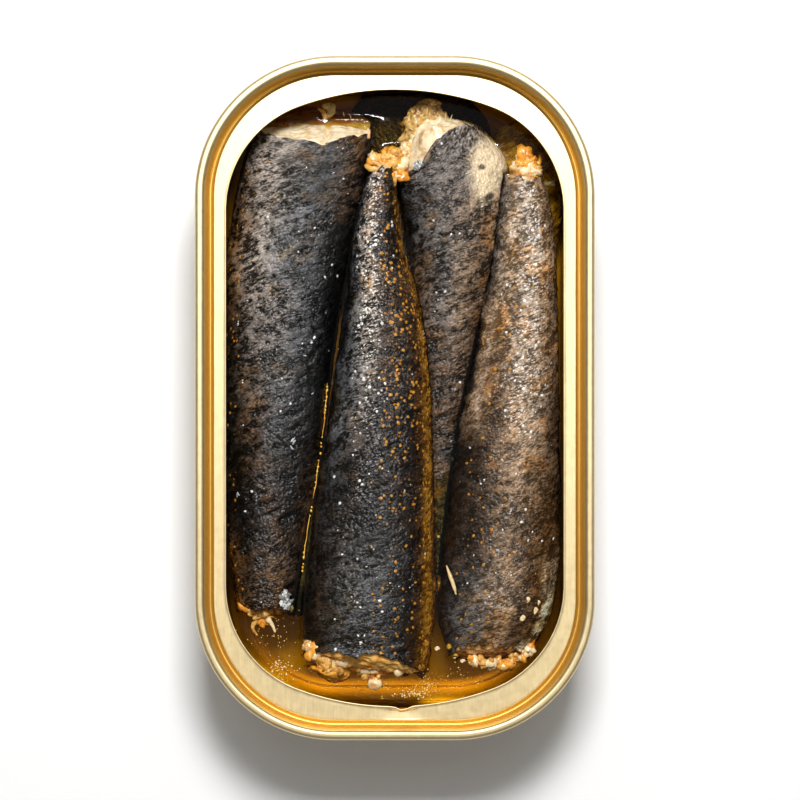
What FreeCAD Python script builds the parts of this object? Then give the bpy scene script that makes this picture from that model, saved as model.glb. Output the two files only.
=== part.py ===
import FreeCAD, Part
import math
import os

import Sketcher
from FreeCAD import Placement, Rotation, Vector

# Opened quarter-club sardine tin: a drawn, gold lacquered tray, the ring that
# stays double seamed to it once the panel has been pulled off, four headless
# sardines packed head to tail, and the oil they lie in.
# Millimetres.  +Z is up, +Y is towards the end where sardines 1 and 3 have
# their thick ends, and the origin is the middle of the face it stands on.

doc = FreeCAD.newDocument("sardine_tin")

# ------------------------------------------------------------------ sizes
SIZES = [
    # the tin
    ("tin_length", 105.0), ("tin_width", 61.4), ("tin_height", 25.0),
    ("corner_radius", 21.5), ("gauge", 0.25),
    # the tray: how far its wall stands in from the seam's outside, its draft,
    # the radius where the wall meets the base, and the base's raised panel
    ("wall_inset_base", 2.05), ("wall_draft", 2.1), ("base_radius", 3.0),
    ("base_panel_inset", 6.2), ("base_panel_rise", 0.8), ("base_panel_taper", 30.0),
    ("flange_inset", 0.42), ("flange_top", 24.5),
    # the seam and the ring left round the opening
    ("seam_width", 1.5), ("seam_foot", 21.9), ("seam_crown", 0.62),
    ("countersink_inset", 1.95), ("countersink_floor", 21.2),
    ("countersink_width", 0.75), ("ring_level", 21.75),
    ("opening_half_width", 26.0), ("opening_corner", 17.0),
    ("opening_straight", 28.9), ("opening_blend", 69.83),
    # the filling
    ("oil_level", 14.0),
]

# One sardine is a row of oval sections: x, y and z of its middle, its width
# and thickness, then how far the section is turned about Z (yaw), about X
# (pitch) and about the fish's own length (roll), in degrees.
SARDINES = {
    "sardine_1": [
        (-12.7, 43.1, 12.9, 18.3, 14.2, 0, 27, 3),
        (-13.9, 37.0, 12.9, 19.8, 14.6, 0, 13, 4),
        (-15.2, 29.6, 12.9, 20.3, 14.9, 0, 0, 5),
        (-16.9, 20.4, 12.8, 19.4, 14.8, 0, 0, 5),
        (-18.0, 9.6, 12.6, 17.9, 14.2, 0, 0, 4),
        (-18.7, -1.6, 12.4, 16.6, 13.4, 0, 0, 3),
        (-19.4, -12.8, 12.2, 14.8, 12.2, 0, 0, 2),
        (-20.1, -23.6, 12.2, 12.3, 10.6, 0, 0, 0),
        (-20.2, -33.2, 12.4, 9.2, 8.6, 0, -8, 0),
    ],
    "sardine_2": [
        (-1.9, 36.0, 16.4, 3.4, 4.6, 0, 6, 0),
        (-2.4, 31.6, 15.9, 5.2, 6.9, 0, 0, 0),
        (-2.6, 23.0, 15.2, 8.2, 9.6, 0, 0, -2),
        (-2.0, 14.6, 14.4, 11.6, 12.0, 0, 0, -4),
        (-1.9, 6.2, 13.8, 14.2, 13.4, 0, 0, -5),
        (-2.4, -4.2, 13.3, 16.3, 14.3, 0, 0, -5),
        (-3.2, -15.6, 13.0, 18.4, 14.9, 0, 0, -4),
        (-3.8, -27.6, 12.9, 20.0, 15.0, 0, 0, -3),
        (-4.2, -35.2, 12.8, 20.5, 14.5, -3, -8, -2),
        (-4.6, -41.2, 12.6, 19.8, 13.0, -9, -20, 0),
    ],
    "sardine_3": [
        (6.8, 38.9, 12.8, 15.2, 11.6, 29, 14, 0),
        (8.7, 35.6, 12.9, 17.4, 13.6, 14, 4, -2),
        (9.6, 31.2, 12.9, 17.2, 14.3, 3, 0, -3),
        (9.5, 24.4, 12.4, 15.6, 14.0, 0, 0, -3),
        (8.8, 15.4, 11.6, 13.6, 12.8, 0, 0, -2),
        (7.9, 5.2, 10.9, 11.4, 11.2, 0, 0, 0),
        (7.2, -6.4, 10.6, 9.2, 9.4, 0, 0, 0),
        (6.8, -18.2, 10.9, 6.9, 7.6, 0, 0, 0),
        (6.7, -30.4, 11.6, 4.2, 5.4, 0, 0, 0),
    ],
    "sardine_4": [
        (19.9, 34.6, 15.6, 5.6, 6.2, 0, 8, -3),
        (20.1, 30.6, 15.2, 8.0, 8.8, 0, 0, -5),
        (20.1, 22.6, 14.4, 9.8, 11.2, 0, 0, -7),
        (19.4, 13.2, 13.8, 12.0, 12.8, 0, 0, -8),
        (18.5, 4.0, 13.4, 14.2, 13.8, 0, 0, -8),
        (17.6, -6.6, 13.2, 16.2, 14.4, 0, 0, -7),
        (16.9, -17.6, 13.0, 17.7, 14.8, 0, 0, -6),
        (16.2, -28.6, 12.9, 18.4, 14.7, 0, 0, -4),
        (15.5, -35.2, 12.8, 17.0, 13.6, 0, -6, -2),
        (14.7, -40.0, 12.6, 12.6, 10.4, 0, -16, 0),
    ],
    # torn flesh that stands at the cut end of sardine 3, and the lump of it
    # that lies at the cut end of sardine 2
    "flesh_flap": [
        (4.6, 38.2, 11.6, 8.0, 5.6, 28, 0, 0),
        (4.4, 41.6, 12.8, 7.2, 5.4, 12, 0, 0),
        (4.9, 44.6, 14.0, 5.6, 4.4, 0, 0, 0),
        (5.4, 46.8, 14.6, 2.8, 2.6, 0, 0, 0),
    ],
    "flesh_lump": [
        (-10.8, -38.4, 13.0, 6.4, 5.0, -12, 0, 0),
        (-10.8, -40.6, 13.4, 7.6, 5.6, -12, 0, 0),
        (-10.4, -42.8, 13.3, 6.8, 4.8, -12, 0, 0),
        (-9.8, -44.6, 13.0, 3.4, 2.8, -12, 0, 0),
    ],
}
FIELDS = ("x", "y", "z", "width", "thick", "yaw", "pitch", "roll")

sheet = doc.addObject("Spreadsheet::Sheet", "sizes")
VALUE = {}
row = 1
for name, value in SIZES:
    sheet.set("A%d" % row, name)
    sheet.set("B%d" % row, repr(float(value)))
    sheet.setAlias("B%d" % row, name)
    VALUE[name] = float(value)
    row += 1
for fish in SARDINES:
    for i, section in enumerate(SARDINES[fish]):
        for field, value in zip(FIELDS, section):
            alias = "%s_%s_%s" % (fish, "abcdefghij"[i], field)
            sheet.set("A%d" % row, alias)
            sheet.set("B%d" % row, repr(float(value)))
            sheet.setAlias("B%d" % row, alias)
            VALUE[alias] = float(value)
            row += 1
doc.recompute()


def number(expression):
    """The value that an expression on the sheet's aliases has now."""
    names = dict(VALUE)
    names.update(cos=lambda a: math.cos(math.radians(a)),
                 sin=lambda a: math.sin(math.radians(a)),
                 tan=lambda a: math.tan(math.radians(a)))
    code = expression.replace("sizes.", "")
    total = _Reader(code, names).read()
    return total


class _Reader:
    """Reads + - * / and brackets, with the sheet's aliases and sin, cos, tan."""

    def __init__(self, text, names):
        self.text, self.names, self.at = text.replace(" ", ""), names, 0

    def read(self):
        value = self.term()
        while self.at < len(self.text) and self.text[self.at] in "+-":
            sign = self.text[self.at]
            self.at += 1
            other = self.term()
            value = value + other if sign == "+" else value - other
        return value

    def term(self):
        value = self.atom()
        while self.at < len(self.text) and self.text[self.at] in "*/":
            sign = self.text[self.at]
            self.at += 1
            other = self.atom()
            value = value * other if sign == "*" else value / other
        return value

    def atom(self):
        if self.text[self.at] == "-":
            self.at += 1
            return -self.atom()
        if self.text[self.at] == "(":
            self.at += 1
            value = self.read()
            self.at += 1
            return value
        start = self.at
        while self.at < len(self.text) and (self.text[self.at].isalnum() or self.text[self.at] in "_."):
            self.at += 1
        word = self.text[start:self.at]
        if self.at < len(self.text) and self.text[self.at] == "(":
            self.at += 1
            value = self.read()
            self.at += 1
            return self.names[word](value)
        return self.names[word] if word in self.names else float(word)


def plane(body, role):
    return [f for f in body.Origin.OriginFeatures if f.Role == role][0]


def degrees(expression):
    """The sheet's angles are plain numbers, and its sines and cosines take degrees."""
    for word in ("cos(", "sin(", "tan("):
        expression = expression.replace(word, word + "1 deg * ")
    return expression


def new_sketch(body, name, role, height=None):
    sketch = body.newObject("Sketcher::SketchObject", name)
    sketch.AttachmentSupport = [(plane(body, role), "")]
    sketch.MapMode = "FlatFace"
    if height is not None:
        sketch.AttachmentOffset = Placement(Vector(0, 0, number(height)), Rotation())
        sketch.setExpression(".AttachmentOffset.Base.z", height)
    return sketch


def outline(sketch, corners):
    """A closed outline.  Each corner is (x, y, radius, side): expressions for
    its place, and the radius of the arc that leaves it, or None for a line.
    side is +1 where the arc turns anticlockwise and -1 where clockwise."""
    first = sketch.GeometryCount
    count = len(corners)
    at = [Vector(number(c[0]), number(c[1]), 0) for c in corners]
    for i, corner in enumerate(corners):
        a, b = at[i], at[(i + 1) % count]
        if corner[2] is None:
            sketch.addGeometry(Part.LineSegment(a, b), False)
        else:
            radius = number(corner[2])
            chord = b - a
            half = chord.Length / 2
            rise = math.sqrt(max(radius * radius - half * half, 0.0))
            left = Vector(-chord.y, chord.x, 0)
            left.normalize()
            centre = (a + b) * 0.5 + left * (rise * corner[3])
            a0 = math.atan2(a.y - centre.y, a.x - centre.x)
            a1 = math.atan2(b.y - centre.y, b.x - centre.x)
            circle = Part.Circle(centre, Vector(0, 0, 1), radius)
            if corner[3] > 0:
                sketch.addGeometry(Part.ArcOfCircle(circle, a0, a1), False)
            else:
                sketch.addGeometry(Part.ArcOfCircle(circle, a1, a0), False)

    def ends(i):
        """Which end of geometry i is its first, and which its last."""
        return (1, 2) if corners[i][2] is None or corners[i][3] > 0 else (2, 1)

    for i in range(count):
        after = (i + 1) % count
        sketch.addConstraint(Sketcher.Constraint("Coincident", first + i, ends(i)[1], first + after, ends(after)[0]))
    for i, corner in enumerate(corners):
        for kind, expression, value in (("DistanceX", corner[0], at[i].x), ("DistanceY", corner[1], at[i].y)):
            if abs(value) < 1e-9:
                # a corner on an axis is held to it
                sketch.addConstraint(Sketcher.Constraint("PointOnObject", first + i, ends(i)[0], -2 if kind == "DistanceX" else -1))
                continue
            n = sketch.addConstraint(Sketcher.Constraint(kind, -1, 1, first + i, ends(i)[0], value))
            sketch.setExpression("Constraints[%d]" % n, degrees(expression))
        if corner[2] is not None:
            n = sketch.addConstraint(Sketcher.Constraint("Radius", first + i, number(corner[2])))
            sketch.setExpression("Constraints[%d]" % n, degrees(corner[2]))


def rounded_rectangle(sketch, inset):
    """The tin's plan, drawn in by an inset from the outside of its seam."""
    w = "(sizes.tin_width/2-(%s))" % inset
    l = "(sizes.tin_length/2-(%s))" % inset
    r = "(sizes.corner_radius-(%s))" % inset
    outline(sketch, [
        (w, "-(%s-%s)" % (l, r), None, 0), (w, "%s-%s" % (l, r), r, 1),
        ("%s-%s" % (w, r), l, None, 0), ("-(%s-%s)" % (w, r), l, r, 1),
        ("-%s" % w, "%s-%s" % (l, r), None, 0), ("-%s" % w, "-(%s-%s)" % (l, r), r, 1),
        ("-(%s-%s)" % (w, r), "-%s" % l, None, 0), ("%s-%s" % (w, r), "-%s" % l, r, 1),
    ])


def pad(body, sketch, length, name, taper=None, kind="PartDesign::Pad", reversed_=False):
    feature = body.newObject(kind, name)
    feature.Profile = sketch
    feature.Length = number(length)
    feature.setExpression("Length", length)
    feature.Reversed = reversed_
    if taper is not None:
        feature.TaperAngle = number(taper)
        feature.setExpression("TaperAngle", taper)
    doc.recompute()
    return feature


def edges_at(shape, z, tolerance=0.02):
    return ["Edge%d" % (i + 1) for i, e in enumerate(shape.Edges)
            if abs(e.BoundBox.ZMin - z) < tolerance and abs(e.BoundBox.ZMax - z) < tolerance]


def fillet(body, z, radius, name, chosen=None):
    base = body.Tip
    feature = body.newObject("PartDesign::Fillet", name)
    feature.Base = (base, chosen or edges_at(base.Shape, z))
    feature.Radius = number(radius)
    feature.setExpression("Radius", radius)
    doc.recompute()
    return feature


def new_body(name):
    body = doc.addObject("PartDesign::Body", name)
    body.Label = name
    return body


# ------------------------------------------------------------------ the tray
# A tapered block with the base's raised panel sunk into it from below, less a
# smaller one like it, leaves a sheet of even gauge.
def drawn_block(name, inset, bottom, height, radius, panel_inset, panel_taper):
    body = new_body(name)
    s = new_sketch(body, name + "_plan", "XY_Plane", bottom)
    rounded_rectangle(s, inset)
    pad(body, s, height, name + "_pad", taper="sizes.wall_draft")
    z = number(bottom)
    fillet(body, z, radius, name + "_foot")
    s = new_sketch(body, name + "_panel", "XY_Plane", bottom)
    rounded_rectangle(s, panel_inset)
    cut = body.newObject("PartDesign::Pocket", name + "_recess")
    cut.Profile = s
    cut.Length = number("sizes.base_panel_rise")
    cut.setExpression("Length", "sizes.base_panel_rise")
    cut.TaperAngle = -number(panel_taper)
    cut.setExpression("TaperAngle", "-" + panel_taper)
    cut.Reversed = True
    doc.recompute()
    return body


outer = drawn_block("tray_outside", "sizes.wall_inset_base", "0*sizes.gauge",
                    "sizes.flange_top-sizes.gauge", "sizes.base_radius",
                    "sizes.base_panel_inset", "sizes.base_panel_taper")
inner = drawn_block("tray_inside", "sizes.wall_inset_base+sizes.gauge", "sizes.gauge",
                    "sizes.tin_height-sizes.gauge+1", "sizes.base_radius-sizes.gauge",
                    "sizes.base_panel_inset", "sizes.base_panel_taper")

# the flange that the seam is folded round
flange = new_body("tray_flange")
s = new_sketch(flange, "flange_plan", "XY_Plane", "sizes.flange_top-sizes.gauge")
rounded_rectangle(s, "sizes.flange_inset")
pad(flange, s, "sizes.gauge", "flange_pad")

tray_block = doc.addObject("Part::Fuse", "tray_block")
tray_block.Base = outer
tray_block.Tool = flange
can_body = doc.addObject("Part::Cut", "can_body")
can_body.Base = tray_block
can_body.Tool = inner
can_body.Label = "can_body"
doc.recompute()
print("can_body", can_body.Shape.isValid(), len(can_body.Shape.Solids), round(can_body.Shape.Volume, 1), can_body.Shape.BoundBox)

# ------------------------------------------------------------------ the ring
# Seam, chuck wall and countersink are one section carried round the rim; the
# flat of the ring is a plate with the opening's outline cut out of it.
lid_ring = new_body("lid_ring")
path = new_sketch(lid_ring, "rim_path", "XY_Plane")
rounded_rectangle(path, "0*sizes.gauge")

rim = new_sketch(lid_ring, "seam_section", "XZ_Plane")


def inset(expression):
    return "(sizes.tin_width/2-(%s))" % expression


wall_top = "(sizes.wall_inset_base-sizes.flange_top*tan(sizes.wall_draft))"
wall_foot = "(sizes.wall_inset_base-sizes.seam_foot*tan(sizes.wall_draft))"
inside_top = "(%s+sizes.gauge)" % wall_top
inside_foot = "(sizes.wall_inset_base+sizes.gauge-(sizes.ring_level-sizes.gauge)*tan(sizes.wall_draft))"
crown = "sizes.seam_crown"
flat = "(sizes.countersink_inset+sizes.countersink_width)"
outline(rim, [
    # up the outside and over the crown
    (inset(wall_foot), "sizes.seam_foot", None, 0),
    (inset("0.12"), "sizes.seam_foot", None, 0),
    (inset("0"), "sizes.seam_foot+0.2", None, 0),
    (inset("0"), "sizes.tin_height-%s" % crown, crown, 1),
    (inset(crown), "sizes.tin_height", None, 0),
    (inset("sizes.seam_width-0.6"), "sizes.tin_height", "0.6", 1),
    # down the chuck wall, through the countersink and up on to the flat
    (inset("sizes.seam_width"), "sizes.tin_height-0.6", None, 0),
    (inset("sizes.countersink_inset"), "sizes.countersink_floor+0.35", "0.35", -1),
    (inset("sizes.countersink_inset+0.35"), "sizes.countersink_floor", None, 0),
    (inset(flat), "sizes.ring_level", None, 0),
    (inset("%s+0.6" % flat), "sizes.ring_level", None, 0),
    # back under, one gauge lower, and up the outside of the chuck wall
    (inset("%s+0.6" % flat), "sizes.ring_level-sizes.gauge", None, 0),
    (inset(flat), "sizes.ring_level-sizes.gauge", None, 0),
    (inset("sizes.countersink_inset+0.35"), "sizes.countersink_floor-sizes.gauge", "0.6", 1),
    (inset("sizes.countersink_inset-0.27"), "sizes.countersink_floor+0.30", None, 0),
    # round the tray's flange
    (inset(inside_top + "+0.02"), "sizes.flange_top", None, 0),
    (inset("sizes.flange_inset"), "sizes.flange_top", None, 0),
    (inset("sizes.flange_inset"), "sizes.flange_top-sizes.gauge", None, 0),
    (inset(wall_top + "+0.01"), "sizes.flange_top-sizes.gauge", None, 0),
])
print("seam section solved:", rim.solve())
doc.recompute()
seam = lid_ring.newObject("PartDesign::AdditivePipe", "seam")
seam.Profile = rim
seam.Spine = path
doc.recompute()

plate = new_sketch(lid_ring, "ring_plate", "XY_Plane", "sizes.ring_level-sizes.gauge")
rounded_rectangle(plate, "%s+0.3" % flat)
bx = "(sizes.opening_half_width-sizes.opening_corner+sizes.opening_corner*cos(sizes.opening_blend))"
by = "(sizes.opening_straight+sizes.opening_corner*sin(sizes.opening_blend))"
end_radius = "(sizes.opening_corner+(sizes.opening_half_width-sizes.opening_corner)/cos(sizes.opening_blend))"
outline(plate, [
    ("sizes.opening_half_width", "-sizes.opening_straight", None, 0),
    ("sizes.opening_half_width", "sizes.opening_straight", "sizes.opening_corner", 1),
    (bx, by, end_radius, 1),
    ("-%s" % bx, by, "sizes.opening_corner", 1),
    ("-sizes.opening_half_width", "sizes.opening_straight", None, 0),
    ("-sizes.opening_half_width", "-sizes.opening_straight", "sizes.opening_corner", 1),
    ("-%s" % bx, "-%s" % by, end_radius, 1),
    (bx, "-%s" % by, "sizes.opening_corner", 1),
])
pad(lid_ring, plate, "sizes.gauge", "plate")
print("lid_ring", lid_ring.Shape.isValid(), len(lid_ring.Shape.Solids), round(lid_ring.Shape.Volume, 1), lid_ring.Shape.BoundBox)

# ------------------------------------------------------------------ the fish
def section_sketch(body, fish, letter):
    """One oval section of a fish, square to Y but for its yaw and pitch."""
    alias = "%s_%s_" % (fish, letter)
    v = {field: VALUE[alias + field] for field in FIELDS}
    sketch = body.newObject("Sketcher::SketchObject", "%s_section_%s" % (fish, letter))
    sketch.AttachmentSupport = [(plane(body, "XZ_Plane"), "")]
    sketch.MapMode = "FlatFace"
    # in the XZ plane's own axes: x along X, y along Z, and z along -Y
    turn = Rotation(Vector(0, 1, 0), v["yaw"]) * Rotation(Vector(1, 0, 0), v["pitch"]) * Rotation(Vector(0, 0, 1), v["roll"])
    sketch.AttachmentOffset = Placement(Vector(v["x"], v["z"], -v["y"]), turn)
    for axis, expression in (("x", "sizes.%sx" % alias), ("y", "sizes.%sz" % alias), ("z", "-sizes.%sy" % alias)):
        sketch.setExpression(".AttachmentOffset.Base.%s" % axis, expression)
    a, b = v["width"] / 2, v["thick"] / 2
    long_x = a >= b
    if long_x:
        oval = Part.Ellipse(Vector(a, 0, 0), Vector(0, b, 0), Vector(0, 0, 0))
    else:
        oval = Part.Ellipse(Vector(0, b, 0), Vector(-a, 0, 0), Vector(0, 0, 0))
    g = sketch.addGeometry(oval, False)
    sketch.exposeInternalGeometry(g)
    sketch.addConstraint(Sketcher.Constraint("Coincident", g, 3, -1, 1))
    # geometry g+1 is the long axis and g+2 the short one
    sketch.addConstraint(Sketcher.Constraint("Horizontal" if long_x else "Vertical", g + 1))
    n = sketch.addConstraint(Sketcher.Constraint("Distance", g + 1, 2 * max(a, b)))
    sketch.setExpression("Constraints[%d]" % n, "sizes.%s%s" % (alias, "width" if long_x else "thick"))
    n = sketch.addConstraint(Sketcher.Constraint("Distance", g + 2, 2 * min(a, b)))
    sketch.setExpression("Constraints[%d]" % n, "sizes.%s%s" % (alias, "thick" if long_x else "width"))
    return sketch


def loft(fish, name):
    body = doc.addObject("PartDesign::Body", name)
    body.Label = name
    letters = "abcdefghij"[:len(SARDINES[fish])]
    sketches = [section_sketch(body, fish, letter) for letter in letters]
    doc.recompute()
    feature = body.newObject("PartDesign::AdditiveLoft", fish + "_loft")
    feature.Profile = sketches[0]
    feature.Sections = sketches[1:]
    feature.Ruled = False
    feature.Closed = False
    doc.recompute()
    return body


def cut_by(name, base, tools):
    """base less the pieces that it is pressed against."""
    if len(tools) > 1:
        tool = doc.addObject("Part::MultiFuse", name + "_neighbours")
        tool.Shapes = tools
    else:
        tool = tools[0]
    made = doc.addObject("Part::Cut", name)
    made.Base = base
    made.Tool = tool
    made.Label = name
    doc.recompute()
    return made


whole = {fish: loft(fish, fish + "_whole") for fish in SARDINES}
for fish, body in whole.items():
    print(fish, body.Shape.isValid(), len(body.Shape.Solids), round(body.Shape.Volume), [round(x, 1) for x in (body.Shape.BoundBox.ZMin, body.Shape.BoundBox.ZMax)])


# Pieces that are pressed together share a face: the softer gives way.
sardine_2 = whole["sardine_2"]
sardine_2.Label = "sardine_2"
sardine_4 = whole["sardine_4"]
sardine_4.Label = "sardine_4"
sardine_1 = cut_by("sardine_1", whole["sardine_1"], [sardine_2])
sardine_3 = cut_by("sardine_3", whole["sardine_3"], [sardine_2, sardine_4])
flesh_flap = cut_by("flesh_flap", whole["flesh_flap"], [sardine_3])
flesh_lump = cut_by("flesh_lump", whole["flesh_lump"], [sardine_2])

# ------------------------------------------------------------------ the oil
level = doc.addObject("Part::Box", "oil_depth")
for prop, expression in (("Length", "sizes.tin_width"), ("Width", "sizes.tin_length"), ("Height", "sizes.oil_level")):
    setattr(level, prop, number(expression))
    level.setExpression(prop, expression)
level.Placement = Placement(Vector(-VALUE["tin_width"] / 2, -VALUE["tin_length"] / 2, 0), Rotation())
level.setExpression(".Placement.Base.x", "-sizes.tin_width/2")
level.setExpression(".Placement.Base.y", "-sizes.tin_length/2")
doc.recompute()
fill = doc.addObject("Part::Common", "oil_fill")
fill.Base = inner
fill.Tool = level
doc.recompute()
oil = cut_by("oil", fill, [sardine_1, sardine_2, sardine_3, sardine_4, flesh_flap, flesh_lump])

# ------------------------------------------------------------------ hand over
PIECES = [can_body, lid_ring, sardine_1, sardine_2, sardine_3, sardine_4, flesh_flap, flesh_lump, oil]
doc.recompute()
for thing in doc.Objects:
    state = [str(x) for x in thing.State]
    if "Invalid" in state or "Error" in state:
        raise RuntimeError("%s did not rebuild: %s" % (thing.Label, state))
os.makedirs("parts", exist_ok=True)
for old in os.listdir("parts"):
    if old.endswith(".step"):
        os.remove(os.path.join("parts", old))
for piece in PIECES:
    shape = piece.Shape
    if shape.isNull() or not shape.isValid() or not shape.Solids:
        raise RuntimeError("%s is not a valid solid" % piece.Label)
    shape.exportStep(os.path.join("parts", piece.Label + ".step"))
    print("%-11s %d solid(s) %9.1f mm3" % (piece.Label, len(shape.Solids), shape.Volume))
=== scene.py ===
import math

import bmesh
import bpy
import numpy as np
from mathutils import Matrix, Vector


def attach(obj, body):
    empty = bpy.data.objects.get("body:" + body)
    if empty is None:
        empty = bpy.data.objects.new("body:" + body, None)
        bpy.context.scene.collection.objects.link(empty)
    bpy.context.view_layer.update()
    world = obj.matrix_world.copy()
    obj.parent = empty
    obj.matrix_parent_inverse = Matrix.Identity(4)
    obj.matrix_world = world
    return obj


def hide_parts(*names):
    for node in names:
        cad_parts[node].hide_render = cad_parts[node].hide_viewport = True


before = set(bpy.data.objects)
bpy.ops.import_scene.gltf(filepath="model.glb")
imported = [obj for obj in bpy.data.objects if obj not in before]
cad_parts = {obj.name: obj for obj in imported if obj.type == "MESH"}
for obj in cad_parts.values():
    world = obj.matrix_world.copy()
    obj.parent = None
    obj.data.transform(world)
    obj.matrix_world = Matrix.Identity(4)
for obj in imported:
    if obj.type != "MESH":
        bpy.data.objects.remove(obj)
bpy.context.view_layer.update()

# The looks of an opened sardine tin.  Lengths below are millimetres in the
# part's own frame, and meshes are written in metres.
MM = 0.001
RNG = np.random.default_rng(473)

HALF_W, HALF_L, CORNER = 30.7, 52.5, 21.5
SPINE_X, SPINE_Y = HALF_W - CORNER, HALF_L - CORNER      # 9.2, 31
OIL = 14.0


# ------------------------------------------------------------ noise
def _hash(ix, iy, iz, seed):
    h = (ix * 73856093) ^ (iy * 19349663) ^ (iz * 83492791) ^ (seed * 2654435761 & 0xffffffff)
    h = h & 0xffffffff
    h = ((h ^ (h >> 15)) * 0x2c1b3c6d) & 0xffffffff
    h = ((h ^ (h >> 12)) * 0x297a2d39) & 0xffffffff
    h = h ^ (h >> 15)
    return h / 4294967295.0


def noise(x, y, z=0.0, seed=0):
    """Value noise, -1 to 1."""
    x, y, z = np.broadcast_arrays(np.asarray(x, float), np.asarray(y, float), np.asarray(z, float))
    x0, y0, z0 = np.floor(x), np.floor(y), np.floor(z)
    fx, fy, fz = x - x0, y - y0, z - z0
    fx, fy, fz = (f * f * f * (f * (f * 6 - 15) + 10) for f in (fx, fy, fz))
    ix, iy, iz = x0.astype(np.int64), y0.astype(np.int64), z0.astype(np.int64)
    total = 0.0
    for a in (0, 1):
        for b in (0, 1):
            for c in (0, 1):
                w = (fx if a else 1 - fx) * (fy if b else 1 - fy) * (fz if c else 1 - fz)
                total = total + w * _hash(ix + a, iy + b, iz + c, seed)
    return total * 2 - 1


def fbm(x, y, z=0.0, octaves=4, seed=0, gain=0.5):
    total, amp, norm, f = 0.0, 1.0, 0.0, 1.0
    for i in range(octaves):
        total = total + amp * noise(x * f + 17.3 * i, y * f - 9.1 * i, np.asarray(z) * f + 4.7 * i, seed + i)
        norm += amp
        amp *= gain
        f *= 2.03
    return total / norm


def cells(x, y, seed=0, jitter=0.8, stagger=True):
    """Distance to the nearest and the next cell point of a staggered grid,
    where the nearest one is, and a number of its own from 0 to 1."""
    x, y = np.broadcast_arrays(np.asarray(x, float), np.asarray(y, float))
    iy0 = np.floor(y).astype(np.int64)
    f1 = np.full(x.shape, 9.0)
    f2 = np.full(x.shape, 9.0)
    ident = np.zeros(x.shape)
    px, py = np.zeros(x.shape), np.zeros(x.shape)
    for dy in (-1, 0, 1):
        iy = iy0 + dy
        shift = 0.5 * (iy & 1) if stagger else 0.0
        ix0 = np.floor(x - shift).astype(np.int64)
        for dx in (-1, 0, 1):
            ix = ix0 + dx
            cx = ix + 0.5 + shift + (_hash(ix, iy, ix * 0, seed) - 0.5) * jitter
            cy = iy + 0.5 + (_hash(ix, iy, ix * 0 + 1, seed) - 0.5) * jitter
            d = np.hypot(x - cx, y - cy)
            near = d < f1
            f2 = np.where(near, f1, np.minimum(f2, d))
            px, py = np.where(near, cx, px), np.where(near, cy, py)
            ident = np.where(near, _hash(ix, iy, ix * 0 + 2, seed), ident)
            f1 = np.where(near, d, f1)
    return f1, f2, ident, x - px, y - py


def step(a, b, x):
    t = np.clip((np.asarray(x, float) - a) / (b - a), 0, 1)
    return t * t * (3 - 2 * t)


def srgb(r, g, b):
    c = np.array([r, g, b], float) / 255.0
    return np.where(c <= 0.04045, c / 12.92, ((c + 0.055) / 1.055) ** 2.4)


# ------------------------------------------------------------ meshes
def signed_volume(verts, faces):
    """Above 0 when the faces of a closed mesh look outwards."""
    a = verts[faces[:, 0]]
    return sum(float(np.einsum("ij,ij->i", a, np.cross(verts[faces[:, k]], verts[faces[:, k + 1]])).sum()) for k in range(1, faces.shape[1] - 1))


def mesh_object(name, verts, quads=None, tris=None, smooth=True, material=None):
    """verts in millimetres; quads and tris are arrays of indices."""
    verts = np.asarray(verts, float).reshape(-1, 3) * MM
    parts, sizes = [], []
    for faces, n in ((quads, 4), (tris, 3)):
        if faces is not None and len(faces):
            faces = np.asarray(faces, np.int32).reshape(-1, n)
            parts.append(faces.ravel())
            sizes.append(np.full(len(faces), n, np.int32))
    if sum(signed_volume(verts, p.reshape(-1, n[0])) for p, n in zip(parts, sizes)) < 0:
        parts = [p.reshape(-1, n[0])[:, ::-1].ravel() for p, n in zip(parts, sizes)]
    loops = np.concatenate(parts)
    sizes = np.concatenate(sizes)
    me = bpy.data.meshes.new(name)
    me.vertices.add(len(verts))
    me.vertices.foreach_set("co", verts.astype(np.float32).ravel())
    me.loops.add(len(loops))
    me.loops.foreach_set("vertex_index", loops)
    me.polygons.add(len(sizes))
    me.polygons.foreach_set("loop_start", np.concatenate([[0], np.cumsum(sizes)[:-1]]).astype(np.int32))
    me.update(calc_edges=True)
    me.validate()
    me.polygons.foreach_set("use_smooth", np.full(len(me.polygons), smooth))
    me.update()
    obj = bpy.data.objects.new(name, me)
    bpy.context.scene.collection.objects.link(obj)
    if material is not None:
        me.materials.append(material)
    return obj


def grid_quads(rows, cols, wrap_cols=False, wrap_rows=False, start=0, flip=False):
    r = np.arange(rows if wrap_rows else rows - 1)
    c = np.arange(cols if wrap_cols else cols - 1)
    r, c = np.meshgrid(r, c, indexing="ij")
    r1, c1 = (r + 1) % rows, (c + 1) % cols
    q = np.stack([r * cols + c, r * cols + c1, r1 * cols + c1, r1 * cols + c], -1).reshape(-1, 4) + start
    return q[:, ::-1] if flip else q


def fan(ring, centre, flip=False):
    ring = np.asarray(ring)
    t = np.stack([ring, np.roll(ring, -1), np.full(len(ring), centre)], -1)
    return t[:, ::-1] if flip else t


def put_colour(obj, name, values):
    a = obj.data.attributes.new(name, "FLOAT_COLOR", "POINT")
    v = np.ones((len(obj.data.vertices), 4), np.float32)
    v[:, :3] = values
    a.data.foreach_set("color", v.ravel())


def put_number(obj, name, values):
    a = obj.data.attributes.new(name, "FLOAT", "POINT")
    a.data.foreach_set("value", np.asarray(values, np.float32).ravel())


def put_vector(obj, name, values):
    a = obj.data.attributes.new(name, "FLOAT_VECTOR", "POINT")
    a.data.foreach_set("vector", np.asarray(values, np.float32).ravel())


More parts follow.
